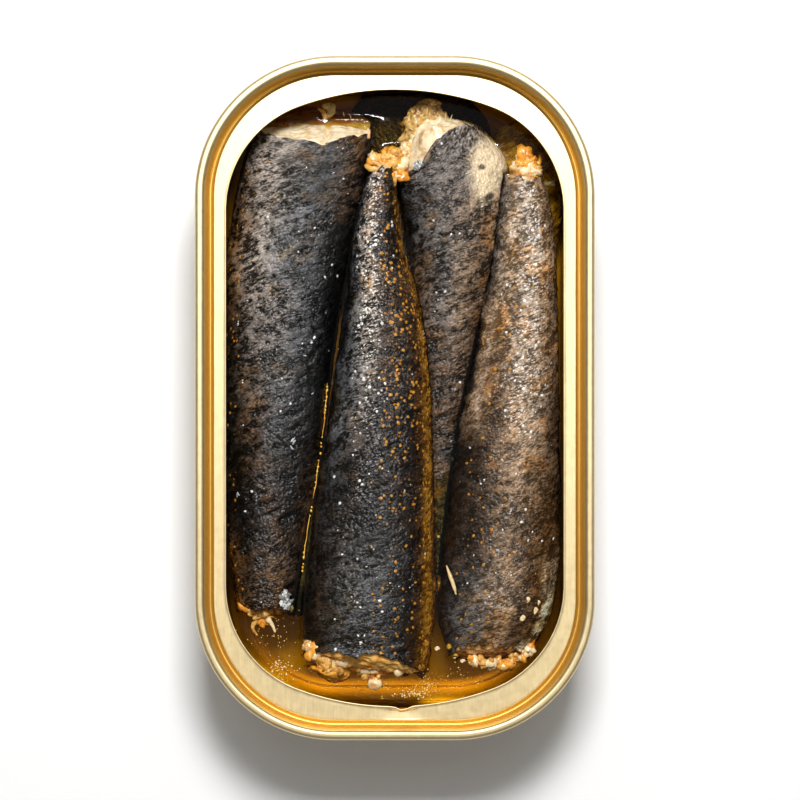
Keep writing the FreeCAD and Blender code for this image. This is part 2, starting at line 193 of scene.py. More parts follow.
# ------------------------------------------------------------ material helper
class Nodes:
    def __init__(self, name):
        self.mat = bpy.data.materials.new(name)
        self.mat.use_nodes = True
        self.tree = self.mat.node_tree
        self.tree.nodes.clear()
        self.out = self.new("ShaderNodeOutputMaterial")

    def new(self, kind, **inputs):
        n = self.tree.nodes.new(kind)
        for key, value in inputs.items():
            key = key.replace("_", " ")
            self.put(n.inputs[key], value)
        return n

    def put(self, socket, value):
        if isinstance(value, bpy.types.NodeSocket):
            self.tree.links.new(value, socket)
        elif value is not None:
            socket.default_value = value

    def attribute(self, name, kind="Vector"):
        n = self.tree.nodes.new("ShaderNodeAttribute")
        n.attribute_name = name
        return n.outputs[kind]

    def mapping(self, vector, scale=(1, 1, 1), rotate=0.0, move=(0, 0, 0)):
        n = self.tree.nodes.new("ShaderNodeMapping")
        self.put(n.inputs["Vector"], vector)
        n.inputs["Scale"].default_value = scale
        n.inputs["Rotation"].default_value = (0, 0, math.radians(rotate))
        n.inputs["Location"].default_value = move
        return n.outputs["Vector"]

    def noise(self, vector, scale, detail=3.0, rough=0.55, distortion=0.0):
        n = self.tree.nodes.new("ShaderNodeTexNoise")
        n.noise_dimensions = "3D"
        self.put(n.inputs["Vector"], vector)
        n.inputs["Scale"].default_value = scale
        n.inputs["Detail"].default_value = detail
        n.inputs["Roughness"].default_value = rough
        n.inputs["Distortion"].default_value = distortion
        return n.outputs["Fac"]

    def voronoi(self, vector, scale, feature="F1", random=1.0, smooth=None):
        n = self.tree.nodes.new("ShaderNodeTexVoronoi")
        n.feature = feature
        self.put(n.inputs["Vector"], vector)
        n.inputs["Scale"].default_value = scale
        n.inputs["Randomness"].default_value = random
        if smooth is not None and "Smoothness" in n.inputs:
            n.inputs["Smoothness"].default_value = smooth
        return n

    def ramp(self, value, a, b, lo=0.0, hi=1.0, smooth=True):
        n = self.tree.nodes.new("ShaderNodeMapRange")
        n.interpolation_type = "SMOOTHSTEP" if smooth else "LINEAR"
        self.put(n.inputs["Value"], value)
        self.put(n.inputs["From Min"], a)
        self.put(n.inputs["From Max"], b)
        self.put(n.inputs["To Min"], lo)
        self.put(n.inputs["To Max"], hi)
        return n.outputs["Result"]

    def math(self, op, a, b=None, clamp=False):
        n = self.tree.nodes.new("ShaderNodeMath")
        n.operation = op
        n.use_clamp = clamp
        self.put(n.inputs[0], a)
        if b is not None:
            self.put(n.inputs[1], b)
        return n.outputs[0]

    def mix(self, fac, a, b, blend="MIX"):
        n = self.tree.nodes.new("ShaderNodeMix")
        n.data_type = "RGBA"
        n.blend_type = blend
        self.put(n.inputs["Factor"], fac)
        for socket, value in ((n.inputs[6], a), (n.inputs[7], b)):
            if not isinstance(value, bpy.types.NodeSocket):
                value = (*value, 1.0) if len(value) == 3 else value
            self.put(socket, value)
        return n.outputs[2]

    def bump(self, height, distance, strength=1.0, normal=None):
        n = self.tree.nodes.new("ShaderNodeBump")
        n.inputs["Distance"].default_value = distance
        n.inputs["Strength"].default_value = strength
        self.put(n.inputs["Height"], height)
        if normal is not None:
            self.put(n.inputs["Normal"], normal)
        return n.outputs["Normal"]

    def principled(self, **inputs):
        n = self.tree.nodes.new("ShaderNodeBsdfPrincipled")
        for key, value in inputs.items():
            key = key.replace("_", " ")
            if isinstance(value, tuple) and len(value) == 3 and n.inputs[key].type == "RGBA":
                value = (*value, 1.0)
            self.put(n.inputs[key], value)
        return n.outputs["BSDF"]

    def finish(self, surface, volume=None):
        self.tree.links.new(surface, self.out.inputs["Surface"])
        if volume is not None:
            self.tree.links.new(volume, self.out.inputs["Volume"])
        return self.mat


# ------------------------------------------------------------ materials
def tin_material():
    """Gold lacquered tinplate: satin, with the sheet's rolling grain along Y."""
    m = Nodes("gold_tinplate")
    co = m.new("ShaderNodeTexCoord").outputs["Object"]
    grain = m.noise(m.mapping(co, (9000, 260, 9000)), 1.0, 2.0, 0.6)
    cloud = m.noise(co, 900.0, 3.0, 0.65)
    tone = m.math("ADD", m.math("MULTIPLY", grain, 0.55), m.math("MULTIPLY", cloud, 0.45))
    colour = m.mix(m.ramp(tone, 0.35, 0.65), tuple(srgb(224, 202, 154)), tuple(srgb(234, 213, 166)))
    # painted shade: the groove inside the seam is mixed towards a deeper, darker gold
    colour = m.mix(m.attribute("groove_shade", "Fac"), colour, tuple(srgb(216, 180, 98)))
    rough = m.ramp(tone, 0.3, 0.7, 0.43, 0.50)
    bump = m.bump(grain, 0.000010, 0.4)
    return m.finish(m.principled(Base_Color=colour, Metallic=1.0, Roughness=rough, Normal=bump))


def skin_material():
    """Wet fish skin.  hi and lo are the two tones of each place's mottling and
    tone how much of which, skin_at its place along and across the fish in
    millimetres, shine how silvery it is, the glint density how thickly its
    white glints lie, which are painted highlights in the colour with some
    silver flecks, and gold how thickly its drops of golden oil lie."""
    m = Nodes("sardine_skin")
    at = m.attribute("skin_at")
    hi, lo = m.attribute("hi", "Color"), m.attribute("lo", "Color")
    tone, shine, painted_glints, gold = (m.attribute(k, "Fac") for k in ("tone", "shine", "painted_glints", "gold"))
    lie = m.tree.nodes.new("ShaderNodeMapping")
    lie.vector_type = "TEXTURE"
    lie.inputs["Rotation"].default_value = (0, 0, math.radians(20))
    lie.inputs["Scale"].default_value = (0.30, 0.70, 1)
    m.put(lie.inputs["Vector"], at)
    lie = lie.outputs["Vector"]
    fine = m.noise(lie, 1.0, 3.0, 0.66, 0.35)
    fac = m.math("ADD", tone, m.math("MULTIPLY", m.math("SUBTRACT", fine, 0.5), 3.6), True)
    colour = m.mix(fac, lo, hi)
    dots = m.voronoi(at, 2.05)
    pick = m.new("ShaderNodeSeparateColor")
    m.put(pick.inputs[0], dots.outputs["Color"])
    near = m.math("ADD", dots.outputs["Distance"], m.math("MULTIPLY", m.math("SUBTRACT", fine, 0.5), 0.9))
    uneven = m.math("ADD", near, m.math("MULTIPLY", pick.outputs[2], 0.30))
    golden = m.math("MULTIPLY", m.ramp(uneven, 0.66, 0.42), m.math("LESS_THAN", pick.outputs[0], gold))
    colour = m.mix(golden, colour, m.mix(pick.outputs[2], tuple(srgb(204, 140, 44)), tuple(srgb(112, 68, 18))))
    # painted highlights: white glints and flecks mixed into the skin's colour, mostly standing for light caught by the
    # wet skin and partly its silver flecks
    glint = m.math("MULTIPLY", m.ramp(uneven, 0.62, 0.40), m.math("LESS_THAN", pick.outputs[1], m.math("MULTIPLY", painted_glints, 0.55)))
    fleck = m.math("MULTIPLY", m.ramp(fine, 0.55, 0.64), m.ramp(painted_glints, 0.0, 0.45))
    colour = m.mix(m.math("MAXIMUM", glint, fleck), colour, tuple(srgb(246, 242, 236)))
    h = m.math("SUBTRACT", m.math("MULTIPLY", fine, 1.5), m.math("MULTIPLY", near, 0.7))
    normal = m.bump(h, 0.00020, 1.0)
    rough = m.ramp(fine, 0.35, 0.65, 0.46, 0.30)
    return m.finish(m.principled(Base_Color=colour, Metallic=shine, Roughness=rough, Normal=normal, Specular_IOR_Level=0.12,
                                 Coat_Weight=0.70, Coat_Roughness=0.10, Coat_IOR=1.45, Coat_Normal=normal))


def flesh_material():
    """Cooked flesh: flaky, wet, cream where bare and orange where soaked."""
    m = Nodes("sardine_flesh")
    co = m.new("ShaderNodeTexCoord").outputs["Object"]
    hi, lo = m.attribute("hi", "Color"), m.attribute("lo", "Color")
    fibre = m.noise(m.mapping(co, (1300, 1300, 2600)), 1.0, 4.0, 0.62, 0.4)
    patch = m.noise(co, 620.0, 2.0, 0.5)
    tone = m.math("ADD", m.math("MULTIPLY", fibre, 0.5), m.math("MULTIPLY", patch, 0.5))
    colour = m.mix(m.ramp(tone, 0.36, 0.54), lo, hi)
    normal = m.bump(fibre, 0.00022, 0.8)
    return m.finish(m.principled(Base_Color=colour, Roughness=0.42, Normal=normal, Coat_Weight=0.6,
                                 Coat_Roughness=0.12, Coat_IOR=1.45))


def oil_material():
    """Clear amber oil: mirrors at its surface and soaks up blue, then green."""
    m = Nodes("amber_oil")
    fres = m.new("ShaderNodeFresnel")
    fres.inputs["IOR"].default_value = 1.47
    clear = m.new("ShaderNodeBsdfTransparent")
    clear.inputs["Color"].default_value = (0.84, 0.73, 0.34, 1.0)
    gloss = m.new("ShaderNodeBsdfGlossy")
    gloss.inputs["Roughness"].default_value = 0.05
    mixed = m.new("ShaderNodeMixShader")
    m.put(mixed.inputs[0], fres.outputs[0])
    m.put(mixed.inputs[1], clear.outputs[0])
    m.put(mixed.inputs[2], gloss.outputs[0])
    soak = m.new("ShaderNodeVolumeAbsorption")
    soak.inputs["Color"].default_value = (0.915, 0.79, 0.0, 1.0)
    soak.inputs["Density"].default_value = 90.0
    return m.finish(mixed.outputs[0], soak.outputs[0])


TIN = tin_material()
SKIN = skin_material()
FLESH = flesh_material()
AMBER_OIL = oil_material()


# ------------------------------------------------------------ the tin
def stations(per_corner=44, per_side=40, per_end=20):
    """Round the rim: corner-circle centres and outward normals, anticlockwise
    from the middle of the +X side."""
    centre, normal = [], []

    def straight(a, b, n, count):
        for i in range(count):
            f = i / count
            centre.append((a[0] + (b[0] - a[0]) * f, a[1] + (b[1] - a[1]) * f))
            normal.append(n)

    def arc(c, a0, count):
        for i in range(count):
            a = math.radians(a0 + 90.0 * i / count)
            centre.append(c)
            normal.append((math.cos(a), math.sin(a)))

    sx, sy = SPINE_X, SPINE_Y
    straight((sx, -sy), (sx, sy), (1, 0), per_side)
    arc((sx, sy), 0, per_corner)
    straight((sx, sy), (-sx, sy), (0, 1), per_end)
    arc((-sx, sy), 90, per_corner)
    straight((-sx, sy), (-sx, -sy), (-1, 0), per_side)
    arc((-sx, -sy), 180, per_corner)
    straight((-sx, -sy), (sx, -sy), (0, -1), per_end)
    arc((sx, -sy), 270, per_corner)
    return np.array(centre), np.array(normal)


RIM_C, RIM_N = stations()
NS = len(RIM_C)


def loop_at(inset, z):
    """The tin's outline, that far in from the seam's outside, at height z."""
    p = RIM_C + RIM_N * (CORNER - inset)
    return np.column_stack([p, np.full(NS, z)])


def arc_points(cx, cz, r, a0, a1, n):
    a = np.radians(np.linspace(a0, a1, n))
    return [(cx + r * math.cos(t), cz + r * math.sin(t)) for t in a]


def opening_at(index_normals=None):
    """Where the opening's edge is, seen from each station."""
    blend = math.radians(69.83)
    r1 = 17.0
    big = 17.0 + 9.0 / math.cos(blend)
    cy = 28.9 - 9.0 * math.tan(blend)
    pts = []
    for s in range(-200, 201):
        pts.append((26.0, 28.9 * s / 200))
    for s in range(1, 301):
        a = blend * s / 300
        pts.append((9 + r1 * math.cos(a), 28.9 + r1 * math.sin(a)))
    half = math.pi / 2 - blend
    for s in range(1, 301):
        a = blend + 2 * half * s / 300
        pts.append((big * math.cos(a), cy + big * math.sin(a)))
    for s in range(1, 301):
        a = math.pi - blend + blend * s / 300
        pts.append((-9 + r1 * math.cos(a), 28.9 + r1 * math.sin(a)))
    top = np.array(pts)
    full = np.concatenate([top, -top])
    # intersect the inward ray of each station with the outline
    a, b = full, np.roll(full, -1, 0)
    out = []
    for c, n in zip(RIM_C, RIM_N):
        p = c + n * 30.0
        d = -n
        e = b - a
        den = d[0] * e[:, 1] - d[1] * e[:, 0]
        w = a - p
        with np.errstate(divide="ignore", invalid="ignore"):
            t = (w[:, 0] * e[:, 1] - w[:, 1] * e[:, 0]) / den
            u = (w[:, 0] * d[1] - w[:, 1] * d[0]) / den
        ok = (u >= -1e-9) & (u <= 1 + 1e-9) & (t > 0) & (np.abs(den) > 1e-12)
        t = np.min(np.where(ok, t, 1e9))
        out.append(p + d * t)
    return np.array(out)


OPENING = opening_at()


def make_ring():
    """Seam, chuck wall, countersink and the flat left round the opening, with
    the torn edge's rolled lip, the notch in it and the flange's underside."""
    tan = math.tan(math.radians(2.1))
    outer = []                                   # (inset, z) up the outside
    foot = 2.05 - 21.9 * tan
    outer += [(foot + 0.02, 21.95), (0.35, 21.9), (0.12, 21.92), (0.03, 21.98), (0.0, 22.1)]
    outer += [(0.0, 22.1 + (24.38 - 22.1) * i / 5) for i in range(1, 5)]
    outer += [(0.62 - 0.62 * math.cos(math.radians(a)), 24.38 + 0.62 * math.sin(math.radians(a))) for a in np.linspace(0, 90, 13)]
    outer += [(0.62 + (0.9 - 0.62) * i / 3, 25.0) for i in (1, 2)]
    outer += [(0.9 + 0.6 * math.sin(math.radians(a)), 24.4 + 0.6 * math.cos(math.radians(a))) for a in np.linspace(0, 90, 11)]
    x0, z0, x1, z1 = 1.5, 24.4, 1.95, 21.55
    outer += [(x0 + (x1 - x0) * i / 8, z0 + (z1 - z0) * i / 8) for i in range(1, 9)]
    outer += [(2.30 - 0.35 * math.cos(math.radians(a)), 21.55 - 0.35 * math.sin(math.radians(a))) for a in np.linspace(12, 90, 8)]
    # soft rise from the countersink on to the flat
    for f in np.linspace(0.12, 1, 9):
        outer.append((2.30 + 0.55 * f, 21.2 + 0.55 * (f * f * (3 - 2 * f))))
    rows = [loop_at(d, z) for d, z in outer]
    flat0 = loop_at(2.85, 21.75)
    edge = np.column_stack([OPENING, np.full(NS, 21.75)])
    inward = edge[:, :2] - flat0[:, :2]
    length = np.linalg.norm(inward, axis=1)
    unit = inward / length[:, None]
    # a notch with a curled lip, where the panel was first levered up
    def notch(p):
        d = np.hypot((p[:, 0] - 1.25) / 0.95, (p[:, 1] + 47.55) / 0.75)
        return np.exp(-d * d)

    def crease(p):
        c = np.exp(-((p[:, 0] - 0.9) / 0.35) ** 2) * step(-50.6, -48.9, p[:, 1]) * (p[:, 1] < -40)
        wide = np.exp(-((p[:, 0] - 1.3) / 2.4) ** 2) * step(-50.9, -48.2, p[:, 1]) * (p[:, 1] < -40)
        return 0.10 * c - 0.16 * wide

    flats = []
    for f in list(np.linspace(0, 1, 13)[1:-1]):
        back = 0.45
        p = flat0[:, :2] + unit * ((length - back) * f)[:, None]
        z = 21.75 + 0.018 * fbm(p[:, 0] / 9, p[:, 1] / 9, 0, 2, 5) + crease(p)
        flats.append(np.column_stack([p, np.minimum(z, 21.95)]))
    lip = [(0.45, 21.75), (0.30, 21.765), (0.18, 21.80), (0.09, 21.815), (0.03, 21.79), (0.0, 21.73),
           (0.0, 21.62), (0.03, 21.54), (0.09, 21.50), (0.20, 21.50)]
    for back, z in lip:
        p = edge[:, :2] - unit * back
        n = notch(p)
        jag = 0.02 * noise(p[:, 0] * 1.7, p[:, 1] * 1.7, 0, 3)
        zz = z + jag * (back < 0.25) + crease(p) * (back > -1) + 0.30 * n
        q = p - unit * (0.55 * n)[:, None]
        flats.append(np.column_stack([q, zz]))
    under = []
    p = flat0[:, :2]
    under.append(np.column_stack([p + unit * 0.3, np.full(NS, 21.5)]))
    back_side = [(2.75, 21.46), (2.30, 20.95), (1.98, 21.05), (1.72, 21.4), (1.52, 21.9)]
    back_side = [(d, z) for d, z in back_side]
    rows_all = rows + flats + under + [loop_at(d, z) for d, z in back_side]
    verts = np.concatenate(rows_all)
    quads = grid_quads(len(rows_all), NS, wrap_cols=True, wrap_rows=True)
    ring = mesh_object("tin_ring", verts, quads, material=TIN)
    # painted shade: the chuck wall and the groove inside the seam are coloured a deeper, darker gold
    groove_shade = np.zeros(len(rows_all))
    groove = [k for k, (d, z) in enumerate(outer) if 1.45 < d < 2.75 and z < 24.5]
    groove_shade[groove] = 1.0
    put_number(ring, "groove_shade", np.repeat(groove_shade, NS))
    return ring


def wall_inset(z, extra=0.0):
    return 2.05 - z * math.tan(math.radians(2.1)) + extra


def tray_profile(gauge):
    """(inset, z) from the flange down the wall and over the base, for the
    outside (gauge 0) or the inside."""
    g = gauge
    pts = []
    top = 24.3
    wall = lambda z: wall_inset(z, g)
    for i in range(7):
        z = top - (top - 3.1) * i / 6
        pts.append((wall(z), z))
    r = 3.0 - g
    cx, cz = wall(3.0) + r, 3.0
    for a in np.linspace(6, 90, 12):
        t = math.radians(a)
        pts.append((cx - r * math.cos(t), cz - r * math.sin(t)))
    z = cz - r
    pts.append((6.2, z))
    pts.append((6.2 + 0.12, z + 0.06))
    pts.append((6.2 + 0.36, z + 0.72))
    pts.append((6.2 + 0.52, z + 0.8))
    pts += [(d, z + 0.8) for d in (8.0, 12.0, 16.0, 19.0, 21.2)]
    return pts


def make_tray():
    """The drawn body: one closed skin, outside and inside, with its flange
    tucked up inside the seam."""
    outside, inside = tray_profile(0.0), tray_profile(0.25)
    lip = [(wall_inset(24.3, 0.2), 24.42), (0.8, 24.48), (0.5, 24.46), (0.48, 24.30), (0.9, 24.27), (wall_inset(24.3, -0.05), 24.2)]
    rows = [loop_at(d, z) for d, z in inside[::-1]] + [loop_at(d, z) for d, z in lip] + [loop_at(d, z) for d, z in outside[1:]]
    n = len(rows)
    verts = np.concatenate(rows)
    quads = grid_quads(n, NS, wrap_cols=True, flip=True)
    # close the flat middle of the base, inside and outside
    verts = np.concatenate([verts, [[0, 0, inside[-1][1]], [0, 0, outside[-1][1]]]])
    first, last = np.arange(NS), np.arange(NS) + (n - 1) * NS
    tris = np.concatenate([fan(first, n * NS), fan(last, n * NS + 1, True)])
    tray = mesh_object("tin_tray", verts, quads, tris, material=TIN)
    return tray


# ------------------------------------------------------------ the sardines
SARDINES = {
    "sardine_1": [(-12.7, 43.1, 12.9, 18.3, 14.2, 0, 27, 3), (-13.9, 37.0, 12.9, 19.8, 14.6, 0, 13, 4), (-15.2, 29.6, 12.9, 20.3, 14.9, 0, 0, 5),
                  (-16.9, 20.4, 12.8, 19.4, 14.8, 0, 0, 5), (-18.0, 9.6, 12.6, 17.9, 14.2, 0, 0, 4), (-18.7, -1.6, 12.4, 16.6, 13.4, 0, 0, 3),
                  (-19.4, -12.8, 12.2, 14.8, 12.2, 0, 0, 2), (-20.1, -23.6, 12.2, 12.3, 10.6, 0, 0, 0), (-20.2, -33.2, 12.4, 9.2, 8.6, 0, -8, 0)],
    "sardine_2": [(-1.9, 36.0, 16.4, 3.4, 4.6, 0, 6, 0), (-2.4, 31.6, 15.9, 5.2, 6.9, 0, 0, 0), (-2.6, 23.0, 15.2, 8.2, 9.6, 0, 0, -2),
                  (-2.0, 14.6, 14.4, 11.6, 12.0, 0, 0, -4), (-1.9, 6.2, 13.8, 14.2, 13.4, 0, 0, -5), (-2.4, -4.2, 13.3, 16.3, 14.3, 0, 0, -5),
                  (-3.2, -15.6, 13.0, 18.4, 14.9, 0, 0, -4), (-3.8, -27.6, 12.9, 20.0, 15.0, 0, 0, -3), (-4.2, -35.2, 12.8, 20.5, 14.5, -3, -8, -2),
                  (-4.6, -41.2, 12.6, 19.8, 13.0, -9, -20, 0)],
    "sardine_3": [(6.8, 38.9, 12.8, 15.2, 11.6, 29, 14, 0), (8.7, 35.6, 12.9, 17.4, 13.6, 14, 4, -2), (9.6, 31.2, 12.9, 17.2, 14.3, 3, 0, -3),
                  (9.5, 24.4, 12.4, 15.6, 14.0, 0, 0, -3), (8.8, 15.4, 11.6, 13.6, 12.8, 0, 0, -2), (7.9, 5.2, 10.9, 11.4, 11.2, 0, 0, 0),
                  (7.2, -6.4, 10.6, 9.2, 9.4, 0, 0, 0), (6.8, -18.2, 10.9, 6.9, 7.6, 0, 0, 0), (6.7, -30.4, 11.6, 4.2, 5.4, 0, 0, 0)],
    "sardine_4": [(19.9, 34.6, 15.6, 5.6, 6.2, 0, 8, -3), (20.1, 30.6, 15.2, 8.0, 8.8, 0, 0, -5), (20.1, 22.6, 14.4, 9.8, 11.2, 0, 0, -7),
                  (19.4, 13.2, 13.8, 12.0, 12.8, 0, 0, -8), (18.5, 4.0, 13.4, 14.2, 13.8, 0, 0, -8), (17.6, -6.6, 13.2, 16.2, 14.4, 0, 0, -7),
                  (16.9, -17.6, 13.0, 17.7, 14.8, 0, 0, -6), (16.2, -28.6, 12.9, 18.4, 14.7, 0, 0, -4), (15.5, -35.2, 12.8, 17.0, 13.6, 0, -6, -2),
                  (14.7, -40.0, 12.6, 12.6, 10.4, 0, -16, 0)],
    # an end of the layer below, sunk in the oil; its dark brown also serves as painted shade over the north end
    "deep": [(3.0, 48.0, 5.5, 16, 6, 0, 0, 0), (3.5, 45.0, 6.0, 21, 8.4, 0, 0, 0), (3.5, 38.0, 6.4, 23, 9.4, 0, 0, 0), (3.0, 30.0, 6.0, 20, 8.4, 0, 0, 0), (2.0, 24.0, 5.5, 14, 7, 0, 0, 0)],
    "sunk": [(18.9, 43.4, 8.4, 6.6, 5.4, 20, 0, 0), (20.0, 40.4, 8.3, 8.6, 7.0, 8, 0, 0), (21.2, 35.6, 8.0, 9.6, 8.0, 0, 0, 0), (21.6, 29.0, 7.0, 9.2, 7.6, 0, 0, 0), (21.4, 23.0, 6.2, 8.0, 6.6, 0, 0, 0)],
}


def hermite(xk, yk, x):
    """A smooth curve through the points, with slopes from their neighbours."""
    xk, yk, x = (np.asarray(v, float) for v in (xk, yk, x))
    m = np.empty(len(xk))
    d = np.diff(yk) / np.diff(xk)
    m[0], m[-1] = d[0], d[-1]
    h = np.diff(xk)
    m[1:-1] = (d[:-1] * h[1:] + d[1:] * h[:-1]) / (h[:-1] + h[1:])
    i = np.clip(np.searchsorted(xk, x) - 1, 0, len(xk) - 2)
    t = (x - xk[i]) / h[i]
    t2, t3 = t * t, t * t * t
    return ((2 * t3 - 3 * t2 + 1) * yk[i] + (t3 - 2 * t2 + t) * h[i] * m[i]
            + (-2 * t3 + 3 * t2) * yk[i + 1] + (t3 - t2) * h[i] * m[i + 1])


class Fish:
    """The smooth body that a row of oval sections gives."""

    def __init__(self, name):
        self.table = np.array(SARDINES[name], float)
        c = self.table[:, :3]
        self.s = np.concatenate([[0], np.cumsum(np.linalg.norm(np.diff(c, axis=0), axis=1))])
        self.length = self.s[-1]
        self.north = c[0, 1] > c[-1, 1]

    def frames(self, s):
        """Middles, half width, half thickness and the section's two axes."""
        s = np.asarray(s, float)
        inside = np.clip(s, 0, self.length)
        v = [hermite(self.s, self.table[:, k], inside) for k in range(8)]
        over = (s - inside)
        centre = np.stack(v[:3], -1)
        a, b = v[3] / 2, v[4] / 2
        yaw, pitch, roll = (np.radians(v[k]) for k in (5, 6, 7))

        def turn(x, y, z):
            x, y = x * np.cos(roll) - y * np.sin(roll), x * np.sin(roll) + y * np.cos(roll)
            y, z = y * np.cos(pitch) - z * np.sin(pitch), y * np.sin(pitch) + z * np.cos(pitch)
            x, z = x * np.cos(yaw) + z * np.sin(yaw), -x * np.sin(yaw) + z * np.cos(yaw)
            return np.stack([x, -z, y], -1)

        one, zero = np.ones_like(s), np.zeros_like(s)
        p, q, n = turn(one, zero, zero), turn(zero, one, zero), turn(zero, zero, one)
        centre = centre + n * over[:, None]
        return centre, a, b, p, q, n

    def level(self, pts, grow=0.0):
        """Under 1 inside the body, over 1 outside, for points as rows."""
        y = pts[..., 1]
        ys = self.table[:, 1]
        order = np.argsort(ys)
        yk = ys[order]
        yc = np.clip(y, yk[0], yk[-1])
        v = [hermite(yk, self.table[order, k], yc) for k in (0, 2, 3, 4, 7)]
        dx, dz = pts[..., 0] - v[0], pts[..., 2] - v[1]
        r = np.radians(v[4])
        u = (dx * np.cos(r) + dz * np.sin(r)) / (v[2] / 2 + grow)
        w = (-dx * np.sin(r) + dz * np.cos(r)) / (v[3] / 2 + grow)
        q = np.sqrt(u * u + w * w)
        over = np.maximum(np.abs(y - yc) - 0.5, 0)
        return q + over * 2


FISH = {name: Fish(name) for name in SARDINES}


def keep_clear(pts, centres, others, grow=0.15):
    """Draws points back towards their own ring's middle until they are
    outside the fish that this one is pressed against."""
    c = centres[:, None, :]
    keep = np.ones(pts.shape[:2])
    for other in others:
        lo, hi = np.full(pts.shape[:2], 0.12), np.ones(pts.shape[:2])
        bad = FISH[other].level(pts, grow) < 1
        for _ in range(11):
            mid = (lo + hi) / 2
            inside = FISH[other].level(c + (pts - c) * mid[..., None], grow) < 1
            hi = np.where(inside, mid, hi)
            lo = np.where(inside, lo, mid)
        keep = np.minimum(keep, np.where(bad, lo, 1.0))
    return keep


def around(count, top_share=0.84, half=118.0):
    """Angles from the crest, closer together over the top than beneath."""
    n_top = int(count * top_share)
    top = np.linspace(-half, half, n_top)
    rest = np.linspace(half, 360 - half, count - n_top + 2)[1:-1]
    return np.radians(np.concatenate([top, rest]))



def curve(points, x):
    points = sorted(points)
    return np.interp(x, [p[0] for p in points], [p[1] for p in points])


def across_back(bands, t, y):
    """The skin's tone: each band is a place along Y and the named tones that
    follow each other from the -X flank to the +X flank there."""
    bands = sorted(bands, key=lambda b: b[0])
    rows = []
    for _, stops in bands:
        ts, cs = np.array([k for k, _ in stops]), np.array([c for _, c in stops])
        rows.append(np.stack([np.interp(t, ts, cs[:, k]) for k in range(3)], -1))
    ys = np.array([b[0] for b in bands], float)
    y = np.clip(y, ys[0], ys[-1])
    i = np.clip(np.searchsorted(ys, y) - 1, 0, len(ys) - 2)
    f = ((y - ys[i]) / (ys[i + 1] - ys[i]))[:, None]
    f = f * f * (3 - 2 * f)
    rows = np.stack(rows)
    k = np.arange(len(y))
    return rows[i, k] * (1 - f) + rows[i + 1, k] * f


NEAR_BLACK = srgb(12, 11, 11)
COAL = srgb(28, 25, 25)
SLATE = srgb(56, 56, 58)
STEEL = srgb(86, 86, 87)
ASH = srgb(104, 96, 90)
PEARL = srgb(136, 126, 117)
BARK = srgb(50, 37, 27)
UMBER = srgb(78, 59, 42)
OCHRE = srgb(92, 66, 38)
TAN = srgb(140, 114, 88)
FAWN = srgb(168, 148, 128)
AMBER = srgb(104, 64, 16)
HONEY = srgb(158, 102, 24)
BUFF = srgb(210, 190, 156)
CREAM = srgb(250, 232, 196)
